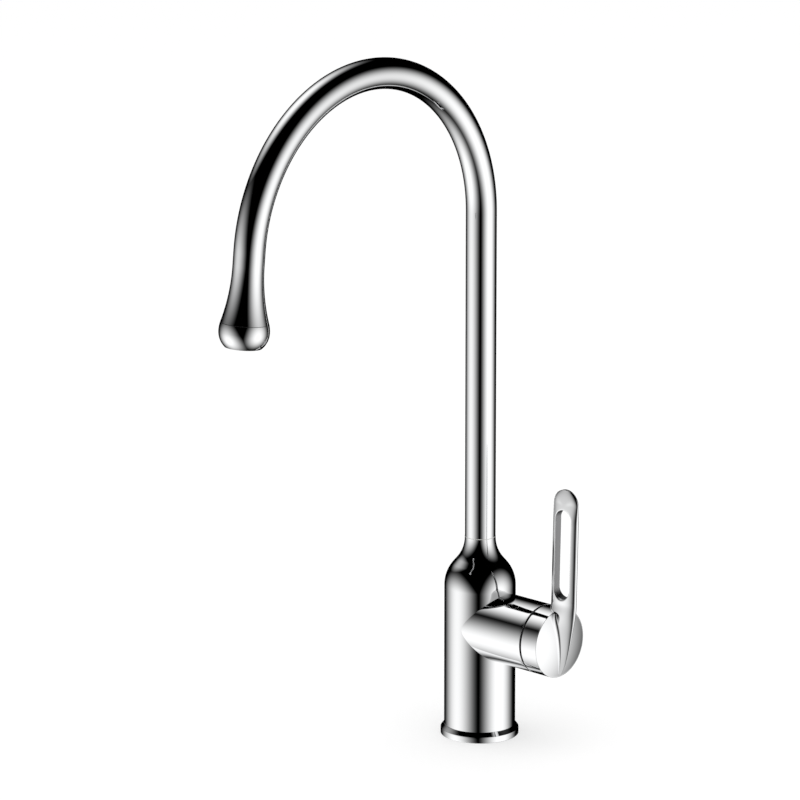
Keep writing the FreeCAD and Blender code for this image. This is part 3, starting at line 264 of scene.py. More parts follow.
def apply_modifiers(piece):
    """Turns what the piece's modifiers make of it into its plain mesh."""
    graph = bpy.context.evaluated_depsgraph_get()
    fresh = bpy.data.meshes.new_from_object(piece.evaluated_get(graph))
    piece.modifiers.clear()
    piece.data = fresh


def bore(piece, start, end, radius):
    """Cuts a round hole through a shell between two points, in millimetres."""
    start, end = Vector(start) * MM, Vector(end) * MM
    way = end - start
    shape = bmesh.new()
    bmesh.ops.create_cone(shape, cap_ends=True, segments=48, radius1=radius * MM, radius2=radius * MM,
                          depth=way.length)
    turn = way.to_track_quat("Z", "Y").to_matrix().to_4x4()
    bmesh.ops.transform(shape, matrix=Matrix.Translation((start + end) / 2) @ turn, verts=shape.verts)
    mesh = bpy.data.meshes.new("cutter")
    shape.to_mesh(mesh)
    shape.free()
    cutter = add_object("cutter", mesh)
    cut = piece.modifiers.new("hole", "BOOLEAN")
    cut.operation, cut.solver, cut.object = "DIFFERENCE", "EXACT", cutter
    apply_modifiers(piece)
    bpy.data.objects.remove(cutter)
    shape = bmesh.new()
    shape.from_mesh(piece.data)
    bmesh.ops.triangulate(shape, faces=[f for f in shape.faces if len(f.verts) > 4])
    bmesh.ops.dissolve_degenerate(shape, dist=2e-6, edges=shape.edges)
    shape.to_mesh(piece.data)
    shape.free()
    smooth(piece.data, sharp=35)


def hidden_walls(name, node, keep):
    """A merged copy of a CAD node with only the faces that pass the test, for its bores and seats."""
    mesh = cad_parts[node].data.copy()
    shape = bmesh.new()
    shape.from_mesh(mesh)
    bmesh.ops.remove_doubles(shape, verts=shape.verts, dist=1e-6)
    shape.normal_update()
    dropped = [f for f in shape.faces if not keep([v.co / MM for v in f.verts], f.normal)]
    bmesh.ops.delete(shape, geom=dropped, context="FACES")
    shape.to_mesh(mesh)
    shape.free()
    if "custom_normal" in mesh.attributes:
        mesh.attributes.remove(mesh.attributes["custom_normal"])
    smooth(mesh, sharp=25)
    return add_object(name, mesh)


def coat(piece, material, slot, body, *replaced):
    """Gives a finished piece its material and its body, and hides the nodes it stands for. The record slot it
    is handed is not used.
    """
    piece.data.materials.clear()
    piece.data.materials.append(material)
    for polygon in piece.data.polygons:
        polygon.material_index = 0
    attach(piece, body)
    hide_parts(*replaced)


def paint_nodes(material, *nodes):
    """Gives CAD nodes that stay as they are a better material."""
    for node in nodes:
        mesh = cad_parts[node].data
        mesh.materials.clear()
        mesh.materials.append(material)


def shoulder_profile():
    """The body's outline from its straight wall over the bulge and the blend up to the neck."""
    slope = math.radians(SHOULDER_SLOPE)
    low = BODY_RADIUS - SHOULDER_BULGE * (1 - math.cos(slope))
    low_height = SHOULDER_START + SHOULDER_BULGE * math.sin(slope)
    high = NECK_RADIUS + NECK_BLEND * (1 - math.cos(slope))
    high_height = low_height + (low - high) / math.tan(slope)
    neck = high_height + NECK_BLEND * math.sin(slope)
    bulge = arc((BODY_RADIUS, SHOULDER_START), (low, low_height), SHOULDER_BULGE, False, 40)
    blend = arc((high, high_height), (NECK_RADIUS, neck), NECK_BLEND, True, 36)
    straight = [tuple(np.array(bulge[-1]) * (1 - t) + np.array(blend[0]) * t) for t in (0.33, 0.67)]
    return bulge + straight + blend


straight_wall = [(BODY_RADIUS, h) for h in np.linspace(0.0, SHOULDER_START, 56)[:-1]]
body_profile = straight_wall + shoulder_profile() + [(NECK_RADIUS, NECK_TOP)]
inner_skin = [(r - SKIN, min(max(h, SKIN), NECK_TOP - SKIN)) for r, h in reversed(body_profile)]
body_profile += [(SOCKET_RADIUS, NECK_TOP)] + inner_skin
body_wall = turned("body_wall", body_profile, sharp=50)
bore(body_wall, (0, LOCK_CUT[0], LOCK_HEIGHT), (0, LOCK_CUT[1], LOCK_HEIGHT), LOCK_HOLE)
bore(body_wall, (SIDE_CUT[0], 0, AXIS_HEIGHT), (SIDE_CUT[1], 0, AXIS_HEIGHT), HOUSING_RADIUS - SIDE_LAND)

lift = Matrix.Translation((0, 0, AXIS_HEIGHT))
housing_run = np.linspace(HOUSING_START, HOUSING_END - EDGE_ROUND, 24)[:-1]
housing_profile = [(HOUSING_RADIUS, x) for x in housing_run]
housing_profile += arc((HOUSING_RADIUS, HOUSING_END - EDGE_ROUND), (HOUSING_RADIUS - EDGE_ROUND, HOUSING_END),
                       EDGE_ROUND, False, 8)
housing_profile += [(REBATE_RADIUS, HOUSING_END), (REBATE_RADIUS, HOUSING_START)]
housing_wall = turned("housing_wall", housing_profile, sharp=50, axis="X", place=lift)
bore(housing_wall, (0, 0, UPRIGHT_CUT[0]), (0, 0, UPRIGHT_CUT[1]), BODY_RADIUS - UPRIGHT_LAND)


def inside_body(corners, normal):
    """Keeps the faces of the body's node that the two smooth walls don't stand for."""
    around = [math.hypot(v.x, v.y) for v in corners]
    across = [math.hypot(v.y, v.z - AXIS_HEIGHT) for v in corners]
    if all(abs(v.z) < FLAT_SLACK for v in corners):
        return True
    at_end = all(abs(v.x - HOUSING_END) < FLAT_SLACK for v in corners)
    at_top = all(abs(v.z - NECK_TOP) < FLAT_SLACK for v in corners)
    if at_end or at_top:
        return False
    on_housing = all(abs(a - HOUSING_RADIUS) < FACET_SLACK for a in across)
    beside = all(v.x > HOUSING_START + 1.0 for v in corners)
    outward = normal.to_2d().dot(corners[0].to_2d()) > 0.0
    on_body = all(a > NECK_RADIUS - NECK_SLACK for a in around) and outward
    above = all(v.z > SHOULDER_START - SHOULDER_SLACK for v in corners)
    on_wall = all(abs(a - BODY_RADIUS) < FACET_SLACK for a in around)
    return not ((on_housing and beside) or (on_body and above) or on_wall)


coat(join("chromed_body", [body_wall, housing_wall]), chrome, "chrome", "tap_body", "body_casting")

# The bores, seats and underside are machined after plating, so they show the casting's own brass.
brass = coat_material("turned_brass", (0.72, 0.55, 0.27), 1.0, 0.26, 0.14, 1400.0, 0.00002, 0.08)
coat(hidden_walls("machined_bores", "body_casting", inside_body), brass, "brass", "tap_body", "body_casting")

# ---- Base collar and seal
# A turned chrome ring that slips over the foot of the body, and the black rubber ring in the
# groove beneath, which the fixing studs press on the deck.
COLLAR_RADIUS = 27.42
COLLAR_SIDE = 4.4
COLLAR_TOP = 7.2
COLLAR_BORE = 25.03
COLLAR_LAND = 0.2
FOOT_ROUND = 0.25
SIDE_ROUND, SIDE_BELOW, SIDE_ABOVE = 0.4, 0.12, 0.1
TOP_BREAK, TOP_BREAK_DEPTH = 0.06, 0.08

collar_profile = [(COLLAR_BORE, 0.0)]
collar_profile += arc((COLLAR_RADIUS - FOOT_ROUND, 0.0), (COLLAR_RADIUS, FOOT_ROUND), FOOT_ROUND, False, 7)
collar_profile += [(COLLAR_RADIUS, h) for h in (1.2, 2.2, 3.2)]
collar_profile += arc((COLLAR_RADIUS, COLLAR_SIDE - SIDE_BELOW),
                      (COLLAR_RADIUS - SIDE_ABOVE, COLLAR_SIDE + SIDE_ABOVE), SIDE_ROUND, False, 7)
collar_profile += [(COLLAR_BORE + COLLAR_LAND + TOP_BREAK, COLLAR_TOP - TOP_BREAK_DEPTH),
                   (COLLAR_BORE + COLLAR_LAND, COLLAR_TOP), (COLLAR_BORE, COLLAR_TOP)]
collar = turned("chromed_collar", collar_profile, sharp=25)
coat(collar, chrome, "chrome", "tap_body", "base_collar")

black_rubber = coat_material("black_rubber", (0.018, 0.018, 0.019), 0.0, 0.62, 0.12, 900.0, 0.00004, 0.15)
paint_nodes(black_rubber, "base_seal")

# ---- Hose sockets
# Three brass sockets pressed into the underside, for the hot, the cold and the filtered hose.
# The brass is as it came off the lathe, so it has a fine turned grain.
paint_nodes(brass, "hot_inlet_socket", "cold_inlet_socket", "filtered_inlet_socket")

# ---- Cartridge
# A plastic cup with two lapped ceramic discs, held in the housing by a brass ring nut. The lower
# disc has the five ports, and the upper one turns with the lever's spindle.
cup_plastic = coat_material("grey_plastic", (0.42, 0.43, 0.44), 0.0, 0.42, 0.1, 700.0, 0.00002, 0.05)
ceramic = coat_material("lapped_ceramic", (0.86, 0.85, 0.81), 0.0, 0.22, 0.08, 500.0, 0.0, 0.02)
black_plastic = coat_material("black_plastic", (0.012, 0.012, 0.013), 0.0, 0.4, 0.1, 800.0, 0.00002, 0.1)
paint_nodes(cup_plastic, "cartridge_body", "stop_ring", "cartridge_cover")
paint_nodes(ceramic, "fixed_ceramic_disc", "moving_ceramic_disc")
paint_nodes(brass, "retaining_nut", "lever_spindle")
paint_nodes(black_rubber, "port_seals", "stem_seal")
paint_nodes(black_plastic, "glide_ring")

# ---- Spout joint
# A brass spigot soldered in the foot of the spout turns in the body on two slippery rings, with
# two rubber seals between them. A steel grub screw at the back keeps it from lifting out.
slip_plastic = coat_material("slip_plastic", (0.8, 0.8, 0.77), 0.0, 0.36, 0.1, 600.0, 0.0, 0.03)
steel = coat_material("plain_steel", (0.5, 0.51, 0.52), 1.0, 0.32, 0.16, 1500.0, 0.00002, 0.08)
paint_nodes(brass, "spout_spigot")
paint_nodes(slip_plastic, "swivel_rings", "thrust_washer", "filtered_water_tube")
paint_nodes(black_rubber, "spout_seals", "filter_tube_seal")
paint_nodes(steel, "spout_lock_screw")

# ---- Spout
# A chrome plated brass tube: a tall straight column bent over into an arch of a little less than
# half a turn, so that its end leans outwards.
TUBE_RADIUS = 10.69
TUBE_WALL = 1.2
TUBE_FOOT = 144.0
ARCH_HEIGHT = 376.28
ARCH_RADIUS = 113.245
ARCH_ANGLE = 174.18
TUBE_LAST = 8.0
PATH_POINTS = 360
RING_POINTS = 128

tube_tree = bpy.data.node_groups.new("bent_tube", "GeometryNodeTree")
tube_sizes = {
    "Tube radius": TUBE_RADIUS * MM, "Foot height": TUBE_FOOT * MM, "Arch height": ARCH_HEIGHT * MM,
    "Arch radius": ARCH_RADIUS * MM, "Arch angle": math.radians(ARCH_ANGLE), "Last straight": TUBE_LAST * MM,
}
for size, number in tube_sizes.items():
    tube_tree.interface.new_socket(size, in_out="INPUT", socket_type="NodeSocketFloat").default_value = number
path_count = tube_tree.interface.new_socket("Path points", in_out="INPUT", socket_type="NodeSocketInt")
path_count.default_value = PATH_POINTS
tube_tree.interface.new_socket("Finish", in_out="INPUT", socket_type="NodeSocketMaterial")
tube_tree.interface.new_socket("Tube", in_out="OUTPUT", socket_type="NodeSocketGeometry")
plan = Paint(tube_tree)
given = tube_tree.nodes.new("NodeGroupInput")
size_of = {s.name: Value(plan, s) for s in given.outputs if s.name}
column = size_of["Arch height"] - size_of["Foot height"]
bend = size_of["Arch radius"] * size_of["Arch angle"]
run = plan.node("GeometryNodeInputIndex") / (size_of["Path points"] - 1.0)
run = run * (column + bend + size_of["Last straight"])
rise = run.math("MINIMUM", column)
angle = ((run - column) / size_of["Arch radius"]).math("MAXIMUM", 0.0)
angle = angle.math("MINIMUM", size_of["Arch angle"])
after = (run - column - bend).math("MAXIMUM", 0.0)
sine, cosine = angle.math("SINE"), angle.math("COSINE")
tube_y = (cosine - 1.0) * size_of["Arch radius"] - after * sine
tube_z = size_of["Foot height"] + rise + size_of["Arch radius"] * sine + after * cosine
line = plan.node("GeometryNodeCurvePrimitiveLine")
path = plan.node("GeometryNodeResampleCurve", None, {"Curve": line, "Count": size_of["Path points"]})
spot = plan.node("ShaderNodeCombineXYZ", None, {"Y": tube_y, "Z": tube_z})
path = plan.node("GeometryNodeSetPosition", None, {"Geometry": path, "Position": spot})
ring = plan.node("GeometryNodeCurvePrimitiveCircle", {"mode": "RADIUS"},
                 {"Resolution": RING_POINTS, "Radius": size_of["Tube radius"]})
tube = plan.node("GeometryNodeCurveToMesh", None, {"Curve": path, "Profile Curve": ring})
tube = plan.node("GeometryNodeRealizeInstances", None, {"Geometry": tube})
tube = plan.node("GeometryNodeSetMaterial", None, {"Geometry": tube, "Material": size_of["Finish"]})
plan.node("NodeGroupOutput", None, {"Tube": tube})


def grow(name, tree, settings):
    """Runs a Geometry Nodes tree once and keeps the result as a plain mesh."""
    made = add_object(name, bpy.data.meshes.new(name))
    modifier = made.modifiers.new("grow", "NODES")
    modifier.node_group = tree
    for item in tree.interface.items_tree:
        if item.in_out == "INPUT" and item.name in settings:
            modifier[item.identifier] = settings[item.name]
    apply_modifiers(made)
    return made


spout = grow("chromed_spout", tube_tree, {"Finish": chrome})
merge_mesh(spout.data, sharp=50)
wall = spout.modifiers.new("wall", "SOLIDIFY")
wall.thickness, wall.offset = TUBE_WALL * MM, -1.0
apply_modifiers(spout)
merge_mesh(spout.data, sharp=50, outward=False)
coat(spout, chrome, "chrome", "spout", "spout_tube")

# ---- Spout end
# A turned brass drop silver soldered below the tube, and a rounded nozzle screwed up into it over a
# thin black ring. Both are polished and plated as one, so the joint is only a fine dark line.
DROP_START = 8.0
DROP_NECK = 10.0
DROP_WIDEST = 54.3
DROP_RADIUS = 17.2
DROP_BULGE = 22.0
DROP_SEAM = 48.2
SEAM_GAP = 0.3
NOZZLE_ROUND = 14.5
NOZZLE_END = 64.9
NOZZLE_LIP = 0.2
OUTLET_RADIUS, OUTLET_BREAK, OUTLET_DEPTH = 9.6, 0.2, 6.8
NOZZLE_BORE = 8.6
JOINT_RADIUS, JOINT_CLEARANCE = 13.6, 0.05
SOCKET_DEPTH, TENON_LENGTH = 4.5, 4.4
WATERWAY_RADIUS = 7.6
SLEEVE_START, SLEEVE_RADIUS = 0.5, 9.46

# the end of the arch: the drop's own axis starts here and runs on in the tube's direction
arch_turn = math.radians(ARCH_ANGLE)
end_across = ARCH_RADIUS * (math.cos(arch_turn) - 1)
end_height = ARCH_HEIGHT + ARCH_RADIUS * math.sin(arch_turn)
spout_end = Matrix.Translation((0, end_across, end_height)) @ Matrix.Rotation(arch_turn, 4, "X")


def drop_radius_at(along):
    """Radius of the drop's round belly at a place along its axis."""
    return DROP_RADIUS - DROP_BULGE + math.sqrt(DROP_BULGE ** 2 - (along - DROP_WIDEST) ** 2)


# the hollow flare from the tube and the belly are two arcs that touch at one point
drop_rise = DROP_WIDEST - DROP_NECK
drop_inset = DROP_BULGE - (DROP_RADIUS - TUBE_RADIUS)
flare = (drop_inset ** 2 + drop_rise ** 2 - DROP_BULGE ** 2) / (2 * (DROP_RADIUS - TUBE_RADIUS))
share = DROP_BULGE / (flare + DROP_BULGE)
meet = (DROP_RADIUS - DROP_BULGE + (flare + drop_inset) * share, DROP_WIDEST - drop_rise * share)
seam_edge = drop_radius_at(DROP_SEAM)
drop_profile = [(TUBE_RADIUS, DROP_START), (TUBE_RADIUS, DROP_START + 1.0)]
drop_profile += arc((TUBE_RADIUS, DROP_NECK), meet, flare, True, 48)
drop_profile += arc(meet, (seam_edge, DROP_SEAM), DROP_BULGE, False, 8)[1:]
drop_profile += [(JOINT_RADIUS, DROP_SEAM), (JOINT_RADIUS, DROP_SEAM - SOCKET_DEPTH)]
drop_profile += [(WATERWAY_RADIUS, DROP_NECK), (WATERWAY_RADIUS, SLEEVE_START)]
drop_profile += [(SLEEVE_RADIUS, SLEEVE_START), (SLEEVE_RADIUS, DROP_START)]
drop = turned("chromed_drop", drop_profile, sharp=30, place=spout_end)
coat(drop, chrome, "chrome", "spout", "spout_end_drop")

nozzle_start = DROP_SEAM + SEAM_GAP
start_edge = drop_radius_at(nozzle_start)
end_edge = DROP_RADIUS - NOZZLE_ROUND + math.sqrt(NOZZLE_ROUND ** 2 - (NOZZLE_END - DROP_WIDEST) ** 2)
tenon = JOINT_RADIUS - JOINT_CLEARANCE
nozzle_profile = arc((start_edge, nozzle_start), (DROP_RADIUS, DROP_WIDEST), DROP_BULGE, False, 14)
nozzle_profile += arc((DROP_RADIUS, DROP_WIDEST), (end_edge, NOZZLE_END), NOZZLE_ROUND, False, 34)[1:]
nozzle_profile += [(end_edge - NOZZLE_LIP, NOZZLE_END), (OUTLET_RADIUS + OUTLET_BREAK, NOZZLE_END),
                   (OUTLET_RADIUS, NOZZLE_END - OUTLET_BREAK), (OUTLET_RADIUS, NOZZLE_END - OUTLET_DEPTH),
                   (NOZZLE_BORE, NOZZLE_END - OUTLET_DEPTH), (NOZZLE_BORE, DROP_SEAM - TENON_LENGTH),
                   (tenon, DROP_SEAM - TENON_LENGTH), (tenon, nozzle_start)]
nozzle = turned("chromed_nozzle", nozzle_profile, sharp=30, place=spout_end)
coat(nozzle, chrome, "chrome", "spout", "nozzle_cap")
paint_nodes(black_rubber, "nozzle_seal")
paint_nodes(cup_plastic, "outlet_insert")
paint_nodes(black_plastic, "filtered_outlet_tip")

# ---- Lever
# One chromed casting: a domed cap on the end of the housing, and a slim slotted blade that rises
# from a keel across the dome. A grub screw under the cap grips the cartridge's spindle.
CAP_START = 61.3
CAP_RIM = 75.18
RIM_ROUND = 0.22
DOME_RISE = 2.9
HOLLOW_RADIUS = 20.6
BLADE_WIDTH = 11.2
BLADE_DEPTH = 4.1
KNEE, KNEE_PLACE = 30.0, 79.0
BLADE_TOP, TOP_PLACE = 100.95, 80.65
TOP_ROUND = 10.5
TIP_START, TIP_THINNING, TIP_FULLNESS, TIP_WALL = 88.0, 0.75, 6.0, 0.9
# each level of the keel: height, nose, back, nose radius, spread of the flanks, fullness of the back,
# and the radius of the soft corner where the flanks meet the dome
KEEL = (
    (-22.6, 76.8, 70.0, 0.02, 0.24, 6.0, 0.15),
    (-16.3, 80.0, 69.0, 0.06, 0.22, 6.0, 0.6),
    (-10.3, 82.2, 68.0, 0.20, 0.18, 6.0, 1.2),
    (-2.0, 84.6, 67.2, 0.45, 0.13, 6.0, 2.0),
    (7.7, 86.7, 66.6, 0.72, 0.11, 5.5, 2.8),
    (14.0, 88.0, 66.4, 0.95, 0.09, 4.0, 3.0),
    (20.8, 89.3, 66.6, 1.35, 0.03, 2.4, 1.8),
    (KNEE, KNEE_PLACE + BLADE_WIDTH, KNEE_PLACE - BLADE_WIDTH, BLADE_DEPTH ** 2 / BLADE_WIDTH, 0.0, 1.0, 0.4),
)
CORNER_START, CORNER_TOP = 0.2, 22.6
SLOT_RADIUS = 6.95
SLOT_LOW, SLOT_HIGH = 40.5, 90.2
SLOT_EDGE, SLOT_FOOT_EDGE = 0.7, 1.9
GRUB_PLACE, GRUB_RADIUS = 68.0, 2.5
GRUB_CUT, GRUB_DEPTH = (20.0, 30.0), 4.0
HOLLOW_DEPTH = 12.0
CAP_METAL = 1.0
RIM_RISE, DOME_START = 0.06, 0.4
HOLLOW_SLACK, GRUB_SLACK = 0.1, 0.05
# the smallest nose radius, and the turns of the keel's outline between which its soft corner starts
LEAST_NOSE = 0.01
FIRST_TURN, LAST_TURN, SMALL_TURN = 0.05, math.pi / 2 + 0.7, 0.004
keel_steps, side_steps, top_steps, foot_steps, out_steps, edge_steps = 72, 56, 48, 56, 22, 7
corner_steps, corner_around = 72, 12


def blade_place(height):
    """Where the middle of the blade stands at a height, as it leans a little."""
    return KNEE_PLACE + (height - KNEE) * (TOP_PLACE - KNEE_PLACE) / (BLADE_TOP - KNEE)


def blade_surface(across, height):
    """Half thickness of the blade at a place on its broad face, which thins towards its tip."""
    rise = max(height - BLADE_TOP, 0.0) / TOP_ROUND
    side = (across - blade_place(min(height, BLADE_TOP))) / BLADE_WIDTH
    out = math.hypot(rise, side)
    full = 2.0 + TIP_FULLNESS * (rise / out) ** 2 if out > 0 else 2.0
    thin = 1.0 - TIP_THINNING * (max(height - TIP_START, 0.0) / (BLADE_TOP + TOP_ROUND - TIP_START)) ** 1.5
    wall = TIP_WALL * (rise / out) ** 3 if out > 0 else 0.0
    return wall + (BLADE_DEPTH * thin - wall) * math.sqrt(max(1.0 - out ** full, 0.0))


def blade_outline():
    """The blade's outline from its left foot over the top to its right foot, then along the knee."""
    edge = [(blade_place(h) - BLADE_WIDTH, h) for h in np.linspace(KNEE, BLADE_TOP, side_steps)]
    for turn in np.linspace(math.pi, 0.0, top_steps)[1:-1]:
        edge.append((TOP_PLACE + BLADE_WIDTH * math.cos(turn), BLADE_TOP + TOP_ROUND * math.sin(turn)))
    edge += [(blade_place(h) + BLADE_WIDTH, h) for h in np.linspace(BLADE_TOP, KNEE, side_steps)]
    rim = len(edge)
    for turn in np.linspace(0.0, math.pi, foot_steps + 1)[1:-1]:
        edge.append((KNEE_PLACE + BLADE_WIDTH * math.cos(turn), KNEE))
    return edge, rim


def build_blade():
    """The slotted blade: one row of points from the slot's wall out to each point of the outline."""
    edge, rim = blade_outline()
    count = len(edge)
    rows = []
    for number, (x, h) in enumerate(edge):
        level = min(max(h, SLOT_LOW), SLOT_HIGH)
        centre = np.array([blade_place(level), level])
        way = np.array([x, h]) - centre
        reach = np.hypot(*way)
        way = way / reach
        corner = blade_surface(*(centre + way * SLOT_RADIUS))
        edge_round = SLOT_EDGE + (SLOT_FOOT_EDGE - SLOT_EDGE) * max(-way[1], 0.0) ** 2
        begin = SLOT_RADIUS + edge_round
        begin_depth = blade_surface(*(centre + way * begin))
        front = []
        for t in np.linspace(0.0, 1.0, edge_steps)[:-1]:
            distance = (1 - t) ** 2 * SLOT_RADIUS + 2 * t * (1 - t) * SLOT_RADIUS + t ** 2 * begin
            depth = (1 - t) ** 2 * (corner - edge_round) + 2 * t * (1 - t) * corner + t ** 2 * begin_depth
            front.append((distance, depth))
        for s in np.linspace(0.0, 1.0, out_steps):
            distance = begin + (reach - begin) * math.sin(s * math.pi / 2)
            depth = blade_surface(*(centre + way * distance))
            front.append((distance, depth))
        front.append((reach, 0.0 if number < rim else depth))
        wall = [(SLOT_RADIUS, (corner - edge_round) * k) for k in np.linspace(-1.0, 1.0, edge_steps)[1:-1]]
        back = [(d, -y) for d, y in reversed(front)]
        rows.append([(centre[0] + way[0] * d, y, centre[1] + way[1] * d) for d, y in back + wall + front])
    width = len(rows[0])
    points = [p for row in rows for p in row]
    faces = []
    for i in range(count):
        k = (i + 1) % count
        for j in range(width - 1):
            faces.append((i * width + j, k * width + j, k * width + j + 1, i * width + j + 1))
    return points, faces


def smooth_law(levels, values, end_slope):
    """A cubic spline through the values, free at the foot and with a set slope at the top."""
    gaps = np.diff(levels)
    rises = np.diff(values) / gaps
    count = len(levels)
    system, answer = np.zeros((count, count)), np.zeros(count)
    system[0, :2], answer[0] = (2.0, 1.0), 3.0 * rises[0]
    system[-1, -1], answer[-1] = 1.0, end_slope
    for k in range(1, count - 1):
        system[k, k - 1:k + 2] = gaps[k], 2.0 * (gaps[k - 1] + gaps[k]), gaps[k - 1]
        answer[k] = 3.0 * (gaps[k] * rises[k - 1] + gaps[k - 1] * rises[k])
    slopes = np.linalg.solve(system, answer)

    def law(level):
        k = int(min(max(np.searchsorted(levels, level) - 1, 0), count - 2))
        t = (level - levels[k]) / gaps[k]
        return (values[k] * (1 + 2 * t) * (1 - t) ** 2 + values[k + 1] * (3 - 2 * t) * t ** 2
                + gaps[k] * (slopes[k] * t * (1 - t) ** 2 - slopes[k + 1] * (1 - t) * t ** 2))
    return law


lean = (TOP_PLACE - KNEE_PLACE) / (BLADE_TOP - KNEE)
keel_table = np.array(KEEL).T
keel_ends = (lean, lean, 0, 0, 0, 0)
keel_laws = [smooth_law(keel_table[0], row, slope) for row, slope in zip(keel_table[1:], keel_ends)]


def keel_point(height, turn):
    """Place and half depth of the keel's outline at a level, a turn of 0 being the nose."""
    nose, back, tip, spread, full = (law(height) for law in keel_laws[:5])
    width = nose - back
    w = width * (1 - math.cos(turn)) / 2
    depth = (2 * max(tip, LEAST_NOSE) * w + max(spread, 0.0) * w * w) * (1 - (w / width) ** max(full, 1.0))
    return nose - w, math.sqrt(max(depth, 0.0))


def build_keel():
    """The keel below the knee: level sections that follow one smooth curve from foot to knee."""
    points, faces = [], []
    heights = KEEL[0][0] + (KNEE - KEEL[0][0]) * np.linspace(0.0, 1.0, keel_steps)
    around = foot_steps * 2
    for height in heights:
        for turn in np.arange(around) * 2 * math.pi / around:
            place, depth = keel_point(height, turn if turn <= math.pi else 2 * math.pi - turn)
            points.append((place, depth if turn <= math.pi else -depth, height))
    for i in range(keel_steps - 1):
        for j in range(around):
            k = (j + 1) % around
            faces.append((i * around + j, i * around + k, (i + 1) * around + k, (i + 1) * around + j))
    faces.append(tuple(range(around))[::-1])
    return points, faces


def build_corner(side, dome_centre, dome_radius):
    """The soft corner between one flank of the keel and the dome, as level arcs."""
    points, faces = [], []
    heights = np.linspace(KEEL[0][0] + CORNER_START, CORNER_TOP, corner_steps)
    for height in heights:
        radius = keel_laws[5](height)
        level = math.sqrt(dome_radius ** 2 - height ** 2)

        def centre_at(turn):
            here, near = np.array(keel_point(height, turn)), np.array(keel_point(height, turn - SMALL_TURN))
            way = here - near
            out = np.array([way[1], -way[0]]) / np.hypot(*way)
            return here, here + (out if out[1] > 0 else -out) * radius

        low, high = FIRST_TURN, LAST_TURN
        for _ in range(40):
            middle = (low + high) / 2
            here, centre = centre_at(middle)
            if np.hypot(centre[0] - dome_centre, centre[1]) > level + radius:
                low = middle
            else:
                high = middle
        here, centre = centre_at(low)
        way = centre - (dome_centre, 0.0)
        there = np.array([dome_centre, 0.0]) + way * level / np.hypot(*way)
        first = math.atan2(*(here - centre)[::-1])
        sweep = (math.atan2(*(there - centre)[::-1]) - first + math.pi) % (2 * math.pi) - math.pi
        for angle in first + sweep * np.linspace(0.0, 1.0, corner_around):
            spot = centre + radius * np.array([math.cos(angle), math.sin(angle)])
            points.append((spot[0], spot[1] * side, height))
    for i in range(corner_steps - 1):
        for j in range(corner_around - 1):
            a = i * corner_around + j
            face = (a, a + 1, a + corner_around + 1, a + corner_around)
            faces.append(face if side < 0 else face[::-1])
    return points, faces


blade_points, blade_faces = build_blade()
keel_points, keel_faces = build_keel()
shift = len(blade_points)
lever_points = np.array(blade_points + keel_points) + (0, 0, AXIS_HEIGHT)
lever_faces = blade_faces + [tuple(v + shift for v in face) for face in keel_faces]
blade = mesh_object("lever_blade", lever_points, lever_faces, sharp=45)
flat = HOUSING_RADIUS - RIM_ROUND
dome = (flat ** 2 + DOME_RISE ** 2) / (2 * DOME_RISE)
corners = []
for side in (-1, 1):
    corner_points, corner_faces = build_corner(side, CAP_RIM + DOME_RISE - dome, dome)
    lifted = np.array(corner_points) + (0, 0, AXIS_HEIGHT)
    corners.append(mesh_object("keel_corner", lifted, corner_faces, sharp=60))
cap_profile = [(HOLLOW_RADIUS, CAP_START)]
cap_profile += arc((HOUSING_RADIUS - EDGE_ROUND, CAP_START), (HOUSING_RADIUS, CAP_START + EDGE_ROUND),
                   EDGE_ROUND, False, 8)
cap_profile += [(HOUSING_RADIUS, x) for x in np.linspace(CAP_START + CAP_METAL, CAP_RIM - CAP_METAL, 8)]
cap_profile += arc((HOUSING_RADIUS, CAP_RIM - RIM_ROUND), (flat, CAP_RIM + RIM_RISE), RIM_ROUND, False, 9)
dome_radii = np.linspace(flat - DOME_START, 0.0, 48)
cap_profile += [(r, CAP_RIM + DOME_RISE - dome + math.sqrt(dome ** 2 - r ** 2)) for r in dome_radii]
cap_profile += [(0.0, CAP_RIM + DOME_RISE - CAP_METAL), (HOLLOW_RADIUS + CAP_METAL, CAP_RIM - CAP_METAL),
                (HOLLOW_RADIUS + CAP_METAL, CAP_START + SKIN)]
cap = turned("lever_cap", cap_profile, sharp=50, axis="X", place=lift)
bore(cap, (GRUB_PLACE, 0, AXIS_HEIGHT - GRUB_CUT[0]), (GRUB_PLACE, 0, AXIS_HEIGHT - GRUB_CUT[1]), GRUB_RADIUS)


def inside_lever(corners, _normal):
    """Keeps the faces of the hollow under the cap and of the grub screw's hole."""
    if not all(v.x < CAP_START + HOLLOW_DEPTH for v in corners):
        return False
    in_hollow = all(math.hypot(v.y, v.z - AXIS_HEIGHT) < HOLLOW_RADIUS + HOLLOW_SLACK for v in corners)
    in_hole = all(math.hypot(v.x - GRUB_PLACE, v.y) < GRUB_RADIUS + GRUB_SLACK for v in corners)
    beneath = all(v.z < AXIS_HEIGHT - GRUB_DEPTH for v in corners)
    return in_hollow or (in_hole and beneath)


lever_inside = hidden_walls("lever_inside", "lever_casting", inside_lever)
lever = join("chromed_lever", [blade, cap, lever_inside] + corners)
